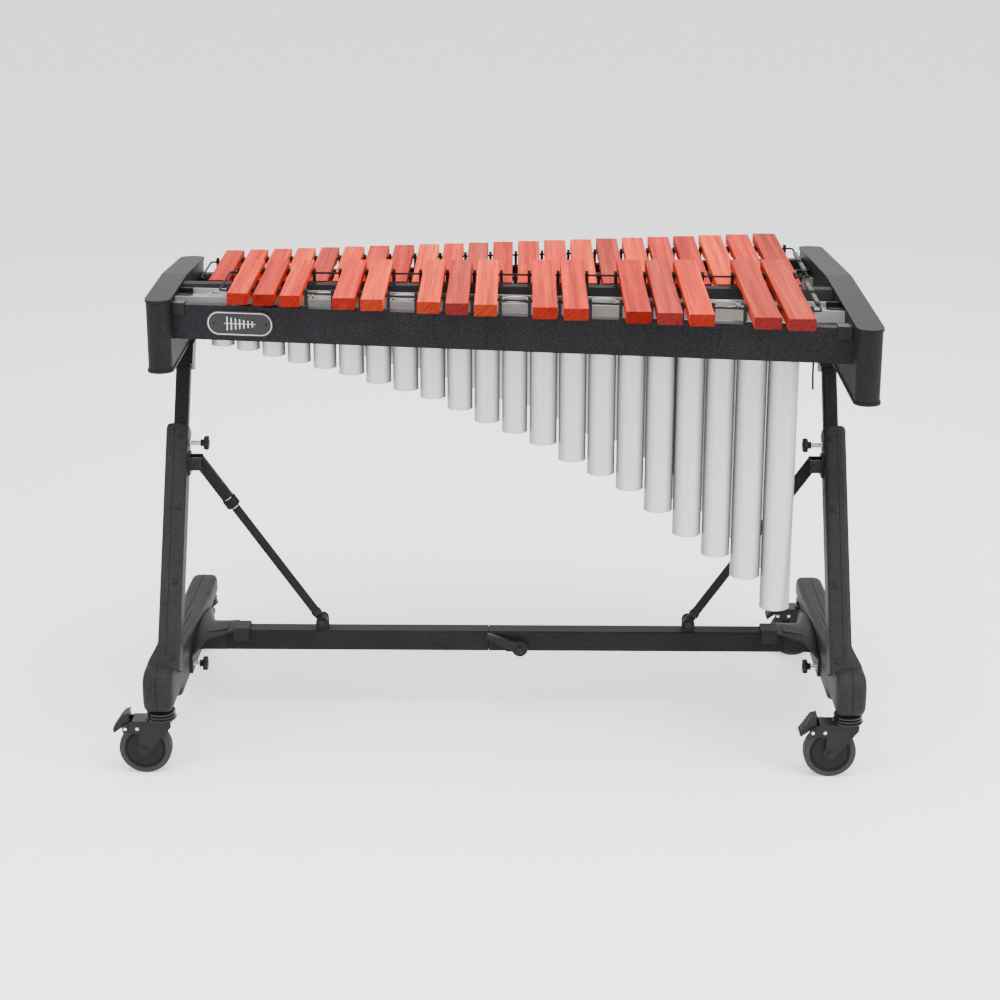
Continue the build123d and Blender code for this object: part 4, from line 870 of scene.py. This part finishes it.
# ---------------------------------------------------------------- braces
BRACE_FOOT = Vector((368.0, -60.0, 197.0))
BRACE_HEAD = Vector((597.0, -114.0, 552.0))
COLLAR_START, COLLAR_STOP = 0.72, 0.765  # the clamping collar's ends, over the brace's length
for side, end in ((-1, "high"), (1, "low")):
    foot_point = Vector((side * BRACE_FOOT.x, BRACE_FOOT.y, BRACE_FOOT.z))
    head_point = Vector((side * BRACE_HEAD.x, BRACE_HEAD.y, BRACE_HEAD.z))
    run_vector = head_point - foot_point
    length = run_vector.length
    place = seat(foot_point, run_vector, (0, 1, 0))
    rings = Shape()
    for z in (length * COLLAR_START - 2.0, length * COLLAR_STOP + 1.0):
        rings.turned([(8.9, z - 1), (10.2, z - 0.5), (10.2, z + 0.5), (8.9, z + 1)], place)
    rings.build(f"{end}_brace_rings", BRIGHT, f"{end}_brace")
    ends = Shape()
    ends.turned([(8.9, 17), (10.4, 18), (10.4, 25), (8.9, 27)], place)
    for lift in (-1, 1):
        face = foot_point + Vector((0, lift * 10.0, 0))
        ends.turned([(9.5, 0), (10.6, 0.2), (10.6, 1.2), (8.5, 1.4)], seat(face, (0, lift, 0)))
    ends.build(f"{end}_brace_ends", STEEL, f"{end}_brace")
    bolts = Shape()
    for lift in (-1, 1):
        face = foot_point + Vector((0, lift * 16.0, 0))
        bolts.prism(hexagon(7.2), 0.0, 4.6, seat(face, (0, lift, 0)), 0.7)
        bolts.turned([(8.6, -0.2), (8.6, 1.0), (5.0, 1.1)], seat(face, (0, lift, 0)))
    bolts.build(f"{end}_brace_bolts", STEEL, "base")
    grip = Shape()
    start, stop = length * COLLAR_START + 0.4, length * COLLAR_STOP - 0.4
    steps = 7
    for k in range(steps):
        z = start + (stop - start) * (k + 0.5) / steps
        grip.turned([(13.4, z - 0.9), (14.5, z - 0.5), (14.5, z + 0.5), (13.4, z + 0.9)], place)
    grip.build(f"{end}_brace_grip", BLACK, f"{end}_brace_collar")
    hooks = Shape()
    for lift in (-1, 1):
        face = head_point + Vector((0, lift * 14.6, -8.0))
        hooks.turned([(6.5, 0), (6.5, 1.4), (5.4, 2.4), (0.01, 2.6)], seat(face, (0, lift, 0)))
    hooks.build(f"{end}_bracket_pins", STEEL, "base")


# ---------------------------------------------------------------- base bar clamp
CAM_X, CAM_Z, BAR_FACE = 30.0, 150.0, -81.0
cam_bolt = Shape()
cam_place = seat((CAM_X, BAR_FACE - 18.0, CAM_Z), (0, -1, 0))
cam_bolt.turned([(9.5, -1.0), (9.5, 0.8), (8.6, 1.4)], cam_place)
cam_bolt.prism(hexagon(6.5), 1.0, 5.0, cam_place, 0.6)
cam_bolt.build("cam_bolt", STEEL, "base")
cam_rim = Shape()
cam_rim.turned(
    [(12.5, 16.2), (15.0, 16.4), (15.9, 15.0), (15.9, 5.6), (15.0, 4.6), (12.5, 4.6)],
    seat((CAM_X, BAR_FACE, CAM_Z), (0, -1, 0)),
)
cam_rim.build("cam_rim", BLACK, "cam_lever")


# ---------------------------------------------------------------- casters
FORK_FACE = 20.0
TRAIL = 32.0                            # from a caster's swivel axis to its axle
AXLE_Z = 50.0
for side, end in ((-1, "high"), (1, "low")):
    for row, caster_y in (("front", -350.0), ("rear", 255.0)):
        x = side * LEG_X
        wheel_x = x - TRAIL
        name = f"{end}_{row}"
        rivets = Shape()
        for lift in (-1, 1):
            for dx, z in ((-35.0, 94.0), (-12.0, 94.5)):
                point = (wheel_x + dx, caster_y + lift * FORK_FACE, z)
                profile = [(3.5, -0.2), (3.3, 1.1), (2.2, 1.9), (0.01, 2.1)]
                rivets.turned(profile, seat(point, (0, lift, 0)), 20)
        rivets.build(f"{name}_rivets", BRIGHT, f"{name}_fork")
        bolts = Shape()
        for lift in (-1, 1):
            point = (wheel_x, caster_y + lift * (FORK_FACE + 0.1), AXLE_Z)
            place = seat(point, (0, lift, 0))
            bolts.turned([(8.5, -0.2), (8.5, 1.2), (7.4, 1.9), (6.6, 1.9)], place)
            bolts.prism(hexagon(6.0), 1.0, 4.6, place, 0.6)
        bolts.build(f"{name}_axle_nuts", STEEL, f"{name}_fork")
        race = Shape()
        column = Matrix.Translation((x, caster_y, 0))
        race.turned([(27.6, 110.2), (29.2, 111.2), (29.2, 113.2), (27.6, 114.4)], column, 48)
        race.turned([(25.6, 116.0), (27.4, 117.0), (27.4, 119.0), (24.0, 120.4)], column, 48)
        race.turned([(22.2, 121.6), (27.2, 122.4), (27.4, 125.4), (22.2, 127.2)], column, 48)
        race.build(f"{name}_race", GLOSS, f"{name}_fork")
        wheel = Shape()
        for lift in (-1, 1):
            place = seat((wheel_x, caster_y, AXLE_Z), (0, lift, 0))
            wheel.turned([(36.9, 11.4), (36.9, 12.4), (34.6, 12.6), (33.4, 11.0)], place, 64)
            wheel.turned([(33.0, 5.2), (31.5, 6.2), (20.0, 7.4), (14.5, 10.6), (13.0, 11.2)], place, 64)
        wheel.build(f"{name}_hub_dish", HUB, f"{name}_wheel")
        # painted shadow: a dark ring where the hub dish meets the tyre
        shadow_ring = Shape()
        for lift in (-1, 1):
            place = seat((wheel_x, caster_y, AXLE_Z), (0, lift, 0))
            profile = [(34.6, 11.5), (35.0, 12.7), (38.3, 12.9), (38.6, 11.8)]
            shadow_ring.turned(profile, place, 64, closed=True)
        shadow_ring.build(f"{name}_hub_shadow_ring", GROOVE_AND_SHADE, f"{name}_wheel")
        tread = Shape()
        for offset in (-5.0, 0.0, 5.0):
            place = seat((wheel_x, caster_y, AXLE_Z), (0, 1, 0))
            ring = [(49.6, offset - 0.5), (50.06, offset - 0.3)]
            ring += [(50.06, offset + 0.3), (49.6, offset + 0.5)]
            tread.turned(ring, place, 96, closed=True)
        tread.build(f"{name}_tread", GROOVE_AND_SHADE, f"{name}_wheel")
        pedal = Shape()
        low, high = Vector((-60.2, 0, 89.5)), Vector((-38.6, 0, 121.5))
        for k in range(6):
            centre = low + (high - low) * (0.1 + 0.16 * k)
            hub = Vector((wheel_x, caster_y, 0)) + centre
            path = [hub + Vector((0, reach, 0)) for reach in (-15.0, 0.0, 15.0)]
            pedal.run(path, 1.5, 8)
        pedal.build(f"{name}_pedal_ribs", BLACK, f"{name}_pedal")


# ---------------------------------------------------------------- studio
def light(name, place, aim, size, power, colour=(1.0, 1.0, 1.0)):
    """A soft box that faces a point."""
    data = bpy.data.lights.new(name, "AREA")
    data.shape = "RECTANGLE"
    data.size, data.size_y = size
    data.energy = power
    data.color = colour
    box = bpy.data.objects.new(name, data)
    bpy.context.scene.collection.objects.link(box)
    box.location = place
    box.rotation_euler = (Vector(aim) - Vector(place)).to_track_quat("-Z", "Y").to_euler()


floor_mesh = bpy.data.meshes.new("floor")
floor_mesh.from_pydata([(-60, -60, 0), (60, -60, 0), (60, 60, 0), (-60, 60, 0)], [], [(0, 1, 2, 3)])
floor = bpy.data.objects.new("floor", floor_mesh)
bpy.context.scene.collection.objects.link(floor)
paper = surface("paper", (0.9, 0.9, 0.9), (0.91, 0.91, 0.91), 0.9, 40.0, 0.0, sheen=0.1, spread=0.004)
paper_shader = next(node for node in paper.node_tree.nodes if node.type == "BSDF_PRINCIPLED")
paper_shader.inputs["Emission Color"].default_value = (1.0, 1.0, 1.0, 1.0)
paper_shader.inputs["Emission Strength"].default_value = 0.45
floor_mesh.materials.append(paper)

light("top_box", (0.2, -0.6, 3.0), (0.0, 0.0, 0.5), (3.0, 2.2), 150.0)
light("right_box", (2.9, -1.8, 1.9), (0.2, 0.0, 0.6), (1.8, 1.8), 110.0)
light("left_box", (-2.8, -2.2, 1.7), (0.0, 0.0, 0.5), (1.8, 1.8), 70.0)
light("back_box", (0.0, 3.0, 2.2), (0.0, 0.0, 0.4), (3.0, 1.4), 30.0)

world = bpy.data.worlds.new("studio")
bpy.context.scene.world = world
world.use_nodes = True
world.node_tree.nodes["Background"].inputs["Color"].default_value = (1.0, 1.0, 1.0, 1.0)
world.node_tree.nodes["Background"].inputs["Strength"].default_value = 1.45

camera_data = bpy.data.cameras.new("camera")
camera_data.sensor_width = 36.0
camera_data.lens = 79.77
camera_data.shift_x = 0.0102
camera_data.shift_y = -0.0296
camera_data.clip_end = 200.0
camera = bpy.data.objects.new("camera", camera_data)
bpy.context.scene.collection.objects.link(camera)
camera.location = (0.0650, -4.2288, 1.8381)
camera.rotation_euler = (pi / 2 - 0.308, 0.0, 0.014)
bpy.context.scene.camera = camera
